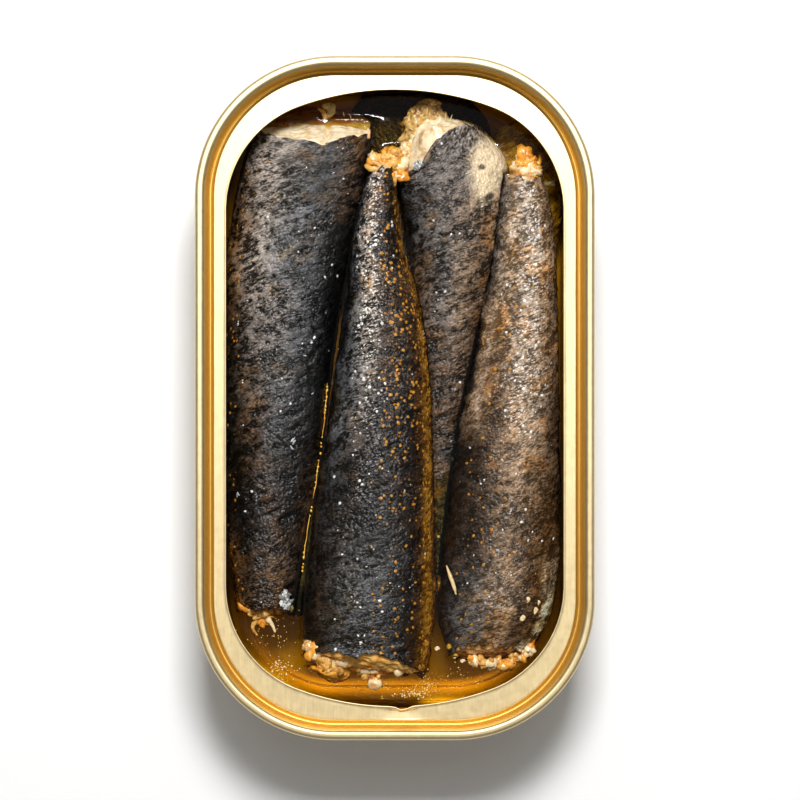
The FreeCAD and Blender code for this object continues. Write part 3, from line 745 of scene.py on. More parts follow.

# At the ends of each band, where a flank meets the next fish, the near-black and coal tones are partly the dark backs
# and partly painted shade in the gaps between the fish.
LOOK = {
    "sardine_1": dict(bands=[
        (38, [(-1, BARK), (-0.6, PEARL), (-0.2, ASH), (0.35, SLATE), (0.8, UMBER), (1, COAL)]),
        (24, [(-1, BARK), (-0.8, OCHRE), (-0.42, PEARL), (0, STEEL), (0.4, SLATE), (0.7, NEAR_BLACK), (1, NEAR_BLACK)]),
        (10, [(-1, COAL), (-0.75, BARK), (-0.42, ASH), (0, ASH), (0.4, SLATE), (0.75, NEAR_BLACK), (1, NEAR_BLACK)]),
        (-4, [(-1, NEAR_BLACK), (-0.7, NEAR_BLACK), (-0.4, UMBER), (0, SLATE), (0.45, COAL), (0.8, NEAR_BLACK), (1, NEAR_BLACK)]),
        (-18, [(-1, BARK), (-0.6, NEAR_BLACK), (-0.2, COAL), (0.05, BARK), (0.45, NEAR_BLACK), (0.9, BARK), (1, AMBER)]),
        (-33, [(-1, AMBER), (-0.5, UMBER), (0, UMBER), (0.4, OCHRE), (0.8, NEAR_BLACK), (1, NEAR_BLACK)])],
        shine=0.20, gloss=[(40, 1.0), (0, 0.8), (-30, 0.5)], seed=11),
    "sardine_2": dict(bands=[
        (33, [(-1, SLATE), (-0.6, PEARL), (-0.2, TAN), (0.2, UMBER), (0.7, COAL), (1, NEAR_BLACK)]),
        (20, [(-1, NEAR_BLACK), (-0.92, SLATE), (-0.7, STEEL), (-0.4, FAWN), (-0.05, UMBER * 0.8), (0.5, BARK), (0.9, OCHRE), (1, HONEY)]),
        (0, [(-1, NEAR_BLACK), (-0.93, SLATE), (-0.75, STEEL * 1.2), (-0.4, ASH * 0.8), (-0.05, BARK), (0.55, BARK * 0.8), (0.85, AMBER), (1, HONEY)]),
        (-14, [(-1, COAL), (-0.8, SLATE), (-0.4, BARK), (0.1, COAL * 1.6), (0.6, BARK), (0.85, OCHRE), (0.95, HONEY), (1, HONEY)]),
        (-32, [(-1, COAL), (-0.8, BARK), (-0.3, STEEL), (0.2, STEEL), (0.55, COAL), (0.8, AMBER), (0.92, HONEY), (1, BARK)])],
        shine=0.20, gloss=[(40, 1.0), (0, 0.8), (-30, 0.7)], seed=23),
    "sardine_3": dict(bands=[
        (38, [(-1, STEEL), (-0.3, ASH), (0.3, ASH), (0.7, PEARL), (1, TAN)]),
        (28, [(-1, COAL), (-0.85, SLATE), (-0.3, ASH * 0.8), (0.25, TAN * 0.6), (0.7, TAN * 0.8), (1, BARK)]),
        (14, [(-1, NEAR_BLACK), (-0.8, UMBER), (-0.25, ASH * 0.75), (0.25, TAN * 0.55), (0.65, UMBER), (0.9, NEAR_BLACK), (1, NEAR_BLACK)]),
        (0, [(-1, NEAR_BLACK), (-0.55, NEAR_BLACK), (-0.2, UMBER), (0.4, UMBER * 0.8), (0.75, COAL), (1, NEAR_BLACK)]),
        (-12, [(-1, COAL), (-0.6, UMBER), (-0.1, TAN * 0.45), (0.35, COAL), (0.9, NEAR_BLACK)]),
        (-22, [(-1, NEAR_BLACK), (0, COAL), (1, NEAR_BLACK)])],
        shine=0.18, gloss=[(40, 1.0), (0, 0.9), (-30, 0.3)], seed=37, light=2.15, dark=0.12),
    "sardine_4": dict(bands=[
        (33, [(-1, COAL), (-0.8, ASH * 1.2), (-0.4, FAWN), (0, FAWN), (0.4, TAN), (1, TAN)]),
        (24, [(-1, COAL), (-0.85, ASH * 1.2), (-0.5, FAWN), (0, FAWN), (0.35, FAWN), (0.6, TAN * 1.3), (1, TAN)]),
        (10, [(-1, COAL), (-0.88, TAN * 1.3), (-0.4, TAN * 1.3), (0, FAWN * 0.95), (0.45, TAN * 1.1), (0.8, TAN * 0.8), (1, UMBER)]),
        (-1, [(-1, NEAR_BLACK), (-0.88, TAN * 1.1), (-0.5, UMBER * 1.3), (0, TAN * 1.1), (0.4, FAWN), (0.75, UMBER * 1.5), (1, UMBER)]),
        (-9, [(-1, NEAR_BLACK), (-0.8, COAL), (-0.5, UMBER * 0.7), (-0.05, TAN), (0.4, TAN), (0.8, UMBER), (1, BARK)]),
        (-21, [(-1, NEAR_BLACK), (-0.75, BARK * 0.8), (-0.45, BARK), (0.05, TAN * 0.62), (0.45, OCHRE), (0.8, OCHRE * 1.2), (1, UMBER)]),
        (-34, [(-1, COAL), (-0.85, SLATE), (-0.45, ASH), (0.05, TAN * 1.5), (0.4, UMBER), (0.7, OCHRE), (0.86, BUFF * 1.3), (1, TAN)])],
        shine=0.14, gloss=[(40, 1.0), (0, 1.0), (-30, 0.8)], seed=53, light=1.85, dark=0.27),
    "sunk": dict(bands=[(0, [(-1, TAN), (0, FAWN), (1, TAN)]), (50, [(-1, TAN), (0, FAWN), (1, TAN)])], shine=0.0, gloss=[(0, 0), (50, 0)], seed=71),
    "deep": dict(bands=[(0, [(-1, BARK), (1, BARK)]), (50, [(-1, BARK), (1, BARK)])], shine=0.0, gloss=[(0, 0), (50, 0)], seed=73),
}


def skin_relief(u, v, seed):
    """Millimetres out from the smooth body: soft lumps, slanting wrinkles,
    the pockets where scales sat, and pits.  Also the mottling's tone, which
    follows the relief, 0 dark to 1 light: darker in the pits and lighter on
    the ridges and scale rims, a painted cavity shade."""
    e, d = 0.94 * u + 0.34 * v, -0.34 * u + 0.94 * v        # across and along the strokes
    lump = fbm(u / 7.0, v / 5.0, 0, 3, seed)
    bend = noise(u / 9, v / 7, 0, seed + 5)
    w = e / 0.80 + 1.5 * bend
    ridge = 1 - np.abs(noise(w, d / 4.2, 0, seed + 7)) * 2
    w2 = (u * 0.75 - v * 0.66) / 1.5 + bend
    ridge2 = 1 - np.abs(noise(w2, v / 3.5, 0, seed + 9)) * 2
    f1, f2, ident, cx, cy = cells(u / 1.95 + 0.12 * bend, v / 1.75 + 0.1 * bend, seed, 0.45)
    rim = np.exp(-((f2 - f1) / 0.15) ** 2)
    pit = np.exp(-(np.hypot(cx + 0.15, cy) / 0.19) ** 2) * (ident > 0.62)
    fine = fbm(e * 1.5, d * 0.85, 0, 4, seed + 13, 0.65)
    broad = fbm(e * 0.55, d * 0.32, 2.2, 3, seed + 15, 0.6)
    wear = step(-0.35, 0.35, fbm(u / 8, v / 6, 3.3, 2, seed + 17))
    worn = step(-0.1, 0.35, fbm(u / 6, v / 5, 7.3, 2, seed + 19))
    out = 0.22 * lump + 0.12 * ridge * (0.4 + worn) + 0.05 * ridge2 + 0.06 * rim * wear - 0.20 * pit * wear + 0.13 * fine
    # painted shade: the tone darkens in the pits and lightens on the ridges and scale rims
    tone = 0.29 + 0.95 * fine + 0.60 * broad + 0.30 * ridge * (0.3 + worn) + 0.24 * rim * wear - 1.0 * pit * wear
    return out, tone


def build_fish(name, rings, count, press=(), grow=0.35, ragged=None, node=None, material=None):
    """One sardine: the relief on its smooth body, its torn rims turned in,
    and its colours."""
    fish, look = FISH[name], LOOK[name]
    theta = around(count)
    w = np.linspace(0, 1, rings)
    n_end = 5
    s_line = np.concatenate([np.zeros(n_end), w, np.ones(n_end)])
    fold = np.concatenate([np.linspace(0.30, 0.97, n_end) ** 0.6, np.ones(rings), np.linspace(0.97, 0.30, n_end) ** 0.6])
    tuck = np.concatenate([np.linspace(1.4, 0.10, n_end), np.zeros(rings), -np.linspace(0.10, 1.4, n_end)])
    lo_cut, hi_cut = (ragged or (lambda a: (np.zeros_like(a), np.zeros_like(a))))(np.degrees(theta))
    S = lo_cut[None, :] * (1 - s_line[:, None]) + (fish.length - hi_cut[None, :]) * s_line[:, None] + tuck[:, None]
    TH = np.broadcast_to(theta, S.shape)
    flat_s = S.ravel()
    centre, a, b, p, q, n = fish.frames(flat_s)
    th = TH.ravel()
    sin, cos = np.sin(th), np.cos(th)
    # arc length from the crest, with each ring's own size
    k = np.sqrt((a * np.cos(th)) ** 2 + (b * np.sin(th)) ** 2).reshape(S.shape)
    dth = np.diff(theta)
    zero = np.argmin(np.abs(theta))
    arc = np.concatenate([np.zeros((len(S), 1)), np.cumsum((k[:, 1:] + k[:, :-1]) / 2 * dth, axis=1)], axis=1)
    arc = arc - arc[:, zero:zero + 1]
    u, v = flat_s, arc.ravel()
    d, deep = skin_relief(u, v, look["seed"])
    foldf = np.repeat(fold, len(theta))
    out = (sin / a)[:, None] * p + (cos / b)[:, None] * q
    out /= np.linalg.norm(out, axis=1)[:, None]
    under = step(-0.75, -0.2, cos)
    d = d * under * step(0.2, 0.95, foldf)
    pts = centre + (a * sin * foldf)[:, None] * p + (b * cos * foldf)[:, None] * q + out * d[:, None]
    shape = S.shape
    pts = pts.reshape(*shape, 3)
    keep = np.ones(shape)
    if press:
        c3 = centre.reshape(*shape, 3)
        keep = keep_clear(pts, c3[:, 0, :], press, grow)
        # draw back towards each point's own middle
        mid = c3
        pts = mid + (pts - mid) * keep[..., None]
    verts = pts.reshape(-1, 3)
    rows, cols = shape
    ends = np.array([pts[0].mean(0), pts[-1].mean(0)])
    verts = np.concatenate([verts, ends])
    quads = grid_quads(rows, cols, wrap_cols=True)
    tris = np.concatenate([fan(np.arange(cols), rows * cols, True), fan(np.arange(cols) + (rows - 1) * cols, rows * cols + 1)])
    obj = mesh_object(node or name, verts, quads, tris, material=material or SKIN)
    # colours
    t = np.clip(sin, -1.0, 1.0) + 0.17 * fbm(u / 4, v / 3, 1.5, 3, look["seed"] + 21)
    # below the widest line each side keeps its flank's end tone, which is partly painted shade
    t = np.where(cos < 0, np.sign(sin) * 1.0, np.clip(t, -1, 1))
    y = verts[:-2, 1]
    colour = across_back(look["bands"], t, y + 1.6 * noise(u / 6, v / 4, 2.5, look["seed"] + 23))
    colour = colour * (1 + 0.45 * fbm(u / 3.6, v / 2.6, 5.1, 3, look["seed"] + 27))[:, None]
    # brown stains and cooler patches
    stain = step(0.05, 0.45, fbm(u / 3.0, v / 2.4, 9.4, 3, look["seed"] + 29))[:, None]
    colour = colour * (1 + stain * (np.array([1.16, 0.92, 0.62]) - 1))
    hi, lo = colour * look.get("light", 2.3), colour * look.get("dark", 0.07) * np.array([1.06, 0.94, 0.70])
    # the tone carries skin_relief's painted cavity shade
    tone = deep
    shine = look["shine"] * step(-0.3, 0.4, fbm(u / 5, v / 4, 8.8, 2, look["seed"] + 31))
    # painted highlights: the white glints lie over the top of each fish and thin out down its flanks; gloss sets how
    # thickly along the fish
    gloss = curve(look["gloss"], y)
    painted_glints = 0.09 * gloss * step(-0.2, 0.5, fbm(u / 3, v / 2.5, 4.8, 2, look["seed"] + 33)) * step(0.95, 0.6, np.abs(sin))
    gold = np.zeros_like(u)
    wet = step(0.90, 1.0, np.abs(sin)) * 0
    return obj, dict(u=u, v=v, t=sin, cos=cos, pts=verts[:-2], hi=hi, lo=lo, shine=shine, painted_glints=painted_glints, gold=gold, tone=tone, fold=foldf, fish=fish)


def paint(obj, f):
    pad = lambda x: np.concatenate([x, x[:1], x[-1:]])
    put_colour(obj, "hi", pad(np.clip(f["hi"], 0, 1)))
    put_colour(obj, "lo", pad(np.clip(f["lo"], 0, 1)))
    seed = f.get("shift", 0.0)
    put_vector(obj, "skin_at", pad(np.stack([f["u"] + seed, f["v"], 0 * f["u"] + seed], -1)))
    put_number(obj, "shine", pad(np.clip(f["shine"], 0, 1)))
    put_number(obj, "painted_glints", pad(np.clip(f["painted_glints"], 0, 1)))
    put_number(obj, "gold", pad(np.clip(f["gold"], 0, 1)))
    put_number(obj, "tone", pad(f["tone"]))


def blend_in(f, weight, hi, lo=None):
    w = np.clip(weight, 0, 1)[:, None]
    f["hi"] = f["hi"] * (1 - w) + np.asarray(hi) * w
    f["lo"] = f["lo"] * (1 - w) + (np.asarray(hi) * 0.35 if lo is None else np.asarray(lo)) * w


def spot(pts, x, y, rx, ry, turn=0.0, soft=1.0):
    """1 inside an oval seen from above, fading out past its edge."""
    a = math.radians(turn)
    dx, dy = pts[:, 0] - x, pts[:, 1] - y
    p, q = dx * math.cos(a) + dy * math.sin(a), -dx * math.sin(a) + dy * math.cos(a)
    return step(1 + 0.35 * soft, 1 - 0.35 * soft, np.hypot(p / rx, q / ry))


# ------------------------------------------------------------ flesh
def lump_body(name, table, rings=70, count=90, amp=0.35, fibre=0.0, seed=0, node=None, tone=(CREAM, AMBER), material=None, clear=()):
    """A soft piece along a row of oval sections, closed at both ends."""
    SARDINES[name + "_body"] = table
    fish = Fish(name + "_body")
    w = np.linspace(0, 1, rings)
    s = fish.length * (0.5 - 0.5 * np.cos(np.pi * w))
    r_end = 0.32
    x = np.clip(np.minimum(s, fish.length - s) / (r_end * fish.length), 0, 1)
    scale = np.sqrt(1 - (1 - x) ** 2)
    theta = np.linspace(0, 2 * np.pi, count, endpoint=False)
    S, TH = np.meshgrid(s, theta, indexing="ij")
    centre, a, b, p, q, n = fish.frames(S.ravel())
    sc = np.repeat(scale, count)
    th = TH.ravel()
    sin, cos = np.sin(th), np.cos(th)
    base = centre + (a * sin * sc)[:, None] * p + (b * cos * sc)[:, None] * q
    out = base - (centre + n * ((fish.length / 2 - S.ravel()) * 0.0)[:, None])
    out = out / np.maximum(np.linalg.norm(out, axis=1), 1e-6)[:, None]
    g = base
    d = amp * fbm(g[:, 0] / 1.6, g[:, 1] / 1.6, g[:, 2] / 1.6, 4, seed, 0.6) + 0.12 * fbm(g[:, 0] * 1.8, g[:, 1] * 1.8, g[:, 2] * 1.8, 3, seed + 3)
    if fibre:
        bend = noise(g[:, 0] / 2.0, g[:, 1] / 2.5, g[:, 2] / 2.0, seed + 5)
        d = d + fibre * (0.5 - np.abs(noise(g[:, 0] / 0.75 + bend, g[:, 1] / 2.8, g[:, 2] / 0.9, seed + 7)) * 2)
    pts = base + out * (d * np.minimum(1, sc * 1.6))[:, None]
    pts3 = pts.reshape(rings, count, 3)
    c3 = centre.reshape(rings, count, 3)
    if clear:
        keep = keep_clear(pts3, c3[:, 0, :], clear, 0.25)
        pts3 = c3 + (pts3 - c3) * keep[..., None]
    first, last = pts3[0].mean(0), pts3[-1].mean(0)
    core = pts3[1:-1].reshape(-1, 3)
    verts = np.concatenate([core, [first, last]])
    rows = rings - 2
    quads = grid_quads(rows, count, wrap_cols=True)
    tris = np.concatenate([fan(np.arange(count), rows * count, True), fan(np.arange(count) + (rows - 1) * count, rows * count + 1)])
    obj = mesh_object(node or name, verts, quads, tris, material=material or FLESH)
    flesh_paint(obj, verts, tone, seed)
    return obj, verts


def flesh_paint(obj, verts, tone, seed=0, extra=None):
    hi, lo = (np.asarray(c, float) for c in tone)
    k = 0.5 + 0.9 * fbm(verts[:, 0] / 1.1, verts[:, 1] / 1.1, verts[:, 2] / 1.1, 3, seed + 91)
    k = np.clip(k, 0, 1)[:, None]
    top = hi * k + (hi * 0.55 + lo * 0.45) * (1 - k)
    low = lo * (0.6 + 0.5 * k)
    if extra is not None:
        top, low = extra(top, low)
    put_colour(obj, "hi", np.clip(top, 0, 1))
    put_colour(obj, "lo", np.clip(low, 0, 1))


class Heap:
    """Many small closed bits gathered into one mesh."""

    def __init__(self):
        self.v, self.f, self.hi, self.lo, self.count = [], [], [], [], 0
        bm = bmesh.new()
        bmesh.ops.create_icosphere(bm, subdivisions=3, radius=1.0)
        bm.verts.ensure_lookup_table()
        self.sphere3 = (np.array([v.co[:] for v in bm.verts]), np.array([[v.index for v in f.verts] for f in bm.faces]))
        bm.free()
        bm = bmesh.new()
        bmesh.ops.create_icosphere(bm, subdivisions=2, radius=1.0)
        bm.verts.ensure_lookup_table()
        self.sphere2 = (np.array([v.co[:] for v in bm.verts]), np.array([[v.index for v in f.verts] for f in bm.faces]))
        bm.free()
        bm = bmesh.new()
        bmesh.ops.create_icosphere(bm, subdivisions=1, radius=1.0)
        bm.verts.ensure_lookup_table()
        self.sphere1 = (np.array([v.co[:] for v in bm.verts]), np.array([[v.index for v in f.verts] for f in bm.faces]))
        bm.free()

    def add(self, verts, faces, hi, lo):
        if signed_volume(verts, faces) < 0:
            faces = faces[:, ::-1]
        self.v.append(verts)
        self.f.append(faces + self.count)
        self.hi.append(np.broadcast_to(hi, verts.shape))
        self.lo.append(np.broadcast_to(lo, verts.shape))
        self.count += len(verts)

    def blob(self, at, size, turn=0.0, tilt=0.0, amp=0.25, seed=0, hi=CREAM, lo=AMBER, fine=True):
        sv, sf = self.sphere1 if fine is None else self.sphere3 if fine else self.sphere2
        d = 1 + amp * fbm(sv[:, 0] * 1.7 + seed, sv[:, 1] * 1.7, sv[:, 2] * 1.7, 3, seed % 97, 0.6) * 1.6
        p = sv * d[:, None] * np.array(size, float)
        t, r = math.radians(turn), math.radians(tilt)
        x, z = p[:, 0] * math.cos(r) - p[:, 2] * math.sin(r), p[:, 0] * math.sin(r) + p[:, 2] * math.cos(r)
        y = p[:, 1]
        x, y = x * math.cos(t) - y * math.sin(t), x * math.sin(t) + y * math.cos(t)
        self.add(np.stack([x, y, z], -1) + np.array(at, float), sf, hi, lo)

    def strand(self, path, radii, seed=0, hi=CREAM, lo=AMBER, around_n=8, flat=1.0):
        """A thin bit along a bent line through the given points."""
        path = np.array(path, float)
        k = np.arange(len(path))
        n = max(10, 7 * len(path))
        w = np.linspace(0, len(path) - 1, n)
        c = np.stack([hermite(k, path[:, i], w) for i in range(3)], -1)
        r = np.interp(w, k, radii)
        tangent = np.gradient(c, axis=0)
        tangent /= np.linalg.norm(tangent, axis=1)[:, None]
        side = np.cross(tangent, (0, 0, 1.0))
        side /= np.maximum(np.linalg.norm(side, axis=1), 1e-6)[:, None]
        up = np.cross(side, tangent)
        a = np.linspace(0, 2 * np.pi, around_n, endpoint=False)
        rr = r[:, None] * (1 + 0.25 * noise(w[:, None] * 2.1, a[None, :] * 1.1, seed, 7))
        pts = c[:, None, :] + side[:, None, :] * (rr * np.cos(a))[..., None] + up[:, None, :] * (rr * np.sin(a) * flat)[..., None]
        verts = np.concatenate([pts.reshape(-1, 3), [c[0], c[-1]]])
        q = grid_quads(n, around_n, wrap_cols=True)
        tri = np.concatenate([q[:, [0, 1, 2]], q[:, [0, 2, 3]], fan(np.arange(around_n), n * around_n, True),
                              fan(np.arange(around_n) + (n - 1) * around_n, n * around_n + 1)])
        self.add(verts, tri, hi, lo)

    def make(self, name, material):
        obj = mesh_object(name, np.concatenate(self.v), None, np.concatenate(self.f), material=material)
        put_colour(obj, "hi", np.concatenate(self.hi))
        put_colour(obj, "lo", np.concatenate(self.lo))
        return obj


def plug(name, fish_name, at_end, size=(0.97, 0.97), bulge=0.8, power=2, recess=0.3, amp=0.45, seed=0, tone=(CREAM, AMBER), shape=None, colour=None, clear=()):
    """The bare flesh at a cut end, closed behind."""
    fish = FISH[fish_name]
    nr, na = 42, 112
    s0 = 0.0 if at_end == 0 else fish.length
    c, a, b, p, q, n = (v[0] for v in fish.frames(np.array([s0])))
    outward = -n if at_end == 0 else n
    rho = np.sqrt(np.linspace(0.0004, 1, nr))
    phi = np.linspace(0, 2 * np.pi, na, endpoint=False)
    R, P = np.meshgrid(rho, phi, indexing="ij")
    X, Z = R * np.cos(P) * a * size[0], R * np.sin(P) * b * size[1]
    h = bulge * (1 - R ** power) - recess
    fib = fbm(X / 1.4, Z / 1.4, seed * 1.7, 4, seed, 0.6)
    flakes = 1 - np.abs(noise(X / 2.2 + 0.5 * fib, Z / 1.1, seed, seed + 3)) * 2
    h = h + (amp * fib + amp * 0.45 * flakes) * step(1.0, 0.93, R)
    if shape is not None:
        h = h + shape(X, Z)
    front = c + X[..., None] * p + Z[..., None] * q + h[..., None] * outward
    deep = [front]
    rows = [front[i] for i in range(nr)]
    # the back follows the fish inwards
    for k, (sc, dist) in enumerate([(0.985, 1.0), (0.95, 2.2), (0.6, 2.6)]):
        s = s0 + (dist if at_end == 0 else -dist)
        cc, aa, bb, pp, qq, nn = (v[0] for v in fish.frames(np.array([s])))
        rows.append(cc + (np.cos(phi) * aa * size[0] * sc)[:, None] * pp + (np.sin(phi) * bb * size[1] * sc)[:, None] * qq)
    pts = np.stack(rows)
    if clear:
        mids = np.repeat(c[None, :], len(rows), 0)
        keep = keep_clear(pts, mids, clear, 0.2)
        pts = mids[:, None, :] + (pts - mids[:, None, :]) * keep[..., None]
    first, last = pts[0].mean(0), pts[-1].mean(0)
    n_rows = len(rows)
    verts = np.concatenate([pts.reshape(-1, 3), [first, last]])
    flip = at_end == 0
    quads = grid_quads(n_rows, na, wrap_cols=True, flip=flip)
    tris = np.concatenate([fan(np.arange(na), n_rows * na, not flip), fan(np.arange(na) + (n_rows - 1) * na, n_rows * na + 1, flip)])
    obj = mesh_object(name, verts, quads, tris, material=FLESH)
    flesh_paint(obj, verts, tone, seed, colour and (lambda hi, lo: colour(verts, hi, lo)))
    return obj


# ------------------------------------------------------------ the oil
def oil_half_width(y, inset):
    r = CORNER - inset
    over = np.maximum(np.abs(y) - SPINE_Y, 0)
    return SPINE_X + np.sqrt(np.maximum(r * r - over * over, 0))


def make_oil():
    cols, rows = 170, 300
    inset = 1.69
    y_end = SPINE_Y + CORNER - inset
    yy = np.linspace(-1, 1, rows)
    yy = np.sign(yy) * (1 - (1 - np.abs(yy)) ** 1.0) * y_end
    xx = np.linspace(-1, 1, cols)
    Y = np.repeat(yy[:, None], cols, 1)
    X = xx[None, :] * oil_half_width(yy, inset)[:, None]
    P = np.stack([X, Y, np.full_like(X, OIL)], -1)
    near = np.full(X.shape, 9.0)
    for name in ("sardine_1", "sardine_2", "sardine_3", "sardine_4"):
        t = FISH[name]
        q = t.level(P, 0.0)
        w = curve([(yk, wk / 2) for yk, wk in sorted(zip(t.table[:, 1], t.table[:, 3]))], Y)
        near = np.minimum(near, (q - 1) * w)
    dy = np.maximum(np.abs(Y) - SPINE_Y, 0)
    dx = np.maximum(np.abs(X) - SPINE_X, 0)
    wall = (CORNER - 1.79) - np.hypot(dx, dy)
    rise = 0.85 * np.exp(-np.maximum(near, 0) / 0.75) + 0.55 * np.exp(-np.maximum(wall, 0) / 0.8)
    ripple = 0.012 * fbm(X / 2.5, Y / 2.5, 0, 3, 5)
    bead = 0.10 * fbm(X * 1.1, Y * 1.1, 0, 3, 8) * np.exp(-np.maximum(near, 0) / 0.8)
    Z = OIL + np.minimum(rise, 0.95) + ripple + bead
    top = np.stack([X, Y, Z], -1).reshape(-1, 3)
    quads = [grid_quads(rows, cols)]
    # the rim of that grid, anticlockwise from above
    idx = np.arange(rows * cols).reshape(rows, cols)
    rim = np.concatenate([idx[0, :-1], idx[:-1, -1], idx[-1, :0:-1], idx[:0:-1, 0]])
    rim_pts = top[rim]
    cx = np.clip(rim_pts[:, 0], -SPINE_X, SPINE_X)
    cy = np.clip(rim_pts[:, 1], -SPINE_Y, SPINE_Y)
    nx, ny = rim_pts[:, 0] - cx, rim_pts[:, 1] - cy
    ln = np.hypot(nx, ny)
    nx, ny = nx / ln, ny / ln
    base = []
    for ins, z in [(wall_inset(9.0, 0.14), 9.0), (wall_inset(3.2, 0.14), 3.2), (2.75, 1.45), (3.6, 0.55), (4.8, 0.16), (6.2, 0.16), (6.75, 0.95), (12.0, 0.95)]:
        r = CORNER - ins
        base.append(np.stack([cx + nx * r, cy + ny * r, np.full(len(rim), z)], -1))
    n = len(rim)
    start = len(top)
    verts = np.concatenate([top] + base + [[[0, 0, 0.95]]])
    rings = [rim] + [np.arange(n) + start + i * n for i in range(len(base))]
    side = []
    for r0, r1 in zip(rings[:-1], rings[1:]):
        side.append(np.stack([r0, r1, np.roll(r1, -1), np.roll(r0, -1)], -1))
    quads = np.concatenate(quads + side)
    tris = fan(rings[-1], len(verts) - 1, True)
    return mesh_object("amber_oil", verts, quads, tris, material=AMBER_OIL)


# ------------------------------------------------------------ put together
def show(obj, slot, *nodes):
    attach(obj, "root")
    if nodes:
        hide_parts(*nodes)
    return obj


show(make_ring(), "tin", "lid_ring")
show(make_tray(), "tin", "can_body")


def cut_1(a):
    """Where the skin stops short of each end, by angle from the crest."""
    north = 0.35 * noise(a / 9, 0, 0, 61) + 0.9 * np.exp(-((a - 12) / 7) ** 2) + 0.9 * step(40, 80, a)
    south = 0.5 * noise(a / 11, 4, 0, 62) + 0.3 * noise(a / 4, 4, 0, 63)
    return north, south


def cut_2(a):
    return 0.6 * noise(a / 14, 8, 0, 64), -1.1 * step(80, 40, np.abs(a)) + 0.6 * noise(a / 10, 2, 0, 65) + 0.4 * noise(a / 4, 2, 0, 66)


def cut_3(a):
    north = 0.35 * noise(a / 9, 6, 0, 67) + 0.3 - 3.4 * np.exp(-((a - 22) / 42) ** 2)
    return north, 0.2 * noise(a / 14, 9, 0, 68)


def cut_4(a):
    return 0.5 * noise(a / 12, 3, 0, 69), 0.55 * noise(a / 8, 5, 0, 70) + 0.3 * noise(a / 3, 5, 0, 71)


one, f1 = build_fish("sardine_1", 310, 170, ("sardine_2",), ragged=cut_1)
two, f2 = build_fish("sardine_2", 310, 170, (), ragged=cut_2)
three, f3 = build_fish("sardine_3", 280, 150, ("sardine_2", "sardine_4"), ragged=cut_3)
four, f4 = build_fish("sardine_4", 300, 160, (), ragged=cut_4)

# the band of painted highlights (white glints) along sardine 2, its golden flank, and the rest
y2, t2 = f2["pts"][:, 1], f2["t"]
band = np.exp(-((t2 - curve([(36, -0.30), (10, -0.42), (-2, -0.30), (-40, -0.1)], y2)) / curve([(36, 0.55), (20, 0.26), (5, 0.24), (-10, 0.3)], y2)) ** 2)
f2["painted_glints"] += 0.55 * band * curve([(36, 0.8), (30, 1.0), (12, 1.0), (4, 0.45), (-8, 0.18), (-24, 0.10), (-40, 0.16)], y2)
f2["gold"] += 0.46 * step(-0.2, 0.1, t2) * step(1.0, 0.85, t2) * curve([(36, 0.3), (26, 1.0), (0, 0.8), (-12, 0.45), (-40, 0.25)], y2)
edge = step(0.72, 0.9, t2) * curve([(36, 0.2), (16, 0.5), (4, 1.0), (-38, 1.0)], y2)
f2["gold"] += 0.6 * edge
f2["hi"] = f2["hi"] * (1 - 0.8 * edge[:, None]) + srgb(244, 176, 58) * 0.8 * edge[:, None]
f2["lo"] = f2["lo"] + srgb(110, 64, 10) * 0.5 * edge[:, None]
dim = (1 - 0.42 * step(-0.5, -0.1, t2) * step(0.95, 0.75, t2)) * curve([(36, 1), (6, 1), (-8, 0.7), (-24, 0.62), (-42, 0.62)], y2)
f2["hi"] = f2["hi"] * dim[:, None]
y1, t1 = f1["pts"][:, 1], f1["t"]
f1["gold"] += 0.16 * step(-0.55, -0.75, t1) * curve([(40, 0.6), (10, 1.0), (-10, 0.3), (-30, 0.6)], y1)
blend_in(f1, 0.75 * spot(f1["pts"], -16.6, 38.3, 2.4, 1.9, 30), PEARL * 1.9, PEARL * 0.5)
blend_in(f1, 0.8 * spot(f1["pts"], -14.0, 37.4, 1.5, 1.0, -20), OCHRE * 1.3, BARK * 0.5)
y4, t4 = f4["pts"][:, 1], f4["t"]
# painted highlights: a band of white glints along sardine 4's crest
f4["painted_glints"] += 0.45 * np.exp(-((t4 - 0.12) / 0.30) ** 2) * curve([(34, 0.9), (10, 1.0), (-2, 0.8), (-8, 0.15), (-40, 0.05)], y4)
f4["gold"] += 0.10 * step(-0.95, -0.7, t4) * step(0.3, 0.0, t4)
ridge4 = np.exp(-((t4 - curve([(32, -0.55), (20, -0.72), (0, -0.80), (-6, -0.7)], y4)) / 0.07) ** 2) * curve([(32, 0.5), (20, 1), (0, 1), (-6, 0), (-40, 0)], y4)
blend_in(f4, 0.75 * ridge4, FAWN * 1.6, TAN * 0.7)
p3 = f3["pts"]
belly = spot(p3, 14.6, 36.4, 2.9, 6.0, -22, 1.0) * step(0.1, 0.5, f3["t"])
blend_in(f3, 0.95 * belly, BUFF * 1.5, BUFF * 0.86)
blend_in(f3, 0.9 * spot(p3, 13.5, 35.8, 0.6, 0.45), BARK, NEAR_BLACK)
blend_in(f3, 0.9 * spot(p3, 14.7, 31.2, 0.8, 0.5, 40), BARK, NEAR_BLACK)
f3["tone"] += 0.35 * belly

for shift, (obj, f, node) in enumerate([(one, f1, "sardine_1"), (two, f2, "sardine_2"), (three, f3, "sardine_3"), (four, f4, "sardine_4")]):
    f["shift"] = 40.0 * shift
    paint(obj, f)
    obj.name = obj.data.name = node + "_skin"
    show(obj, "skin", node)

sunk, fs = build_fish("sunk", 110, 90, (), ragged=None, node="sunk_sardine")
fs["hi"] = np.broadcast_to(srgb(236, 206, 130), fs["hi"].shape)
fs["lo"] = np.broadcast_to(srgb(150, 122, 66), fs["lo"].shape)
paint(sunk, fs)
show(sunk, "skin")
# partly painted shade: the sunk back's dark brown darkens the oil over the north end, which lies in shade
deep, fd = build_fish("deep", 60, 70, (), ragged=None, node="sunk_back_and_shade")
paint(deep, fd)
show(deep, "skin")

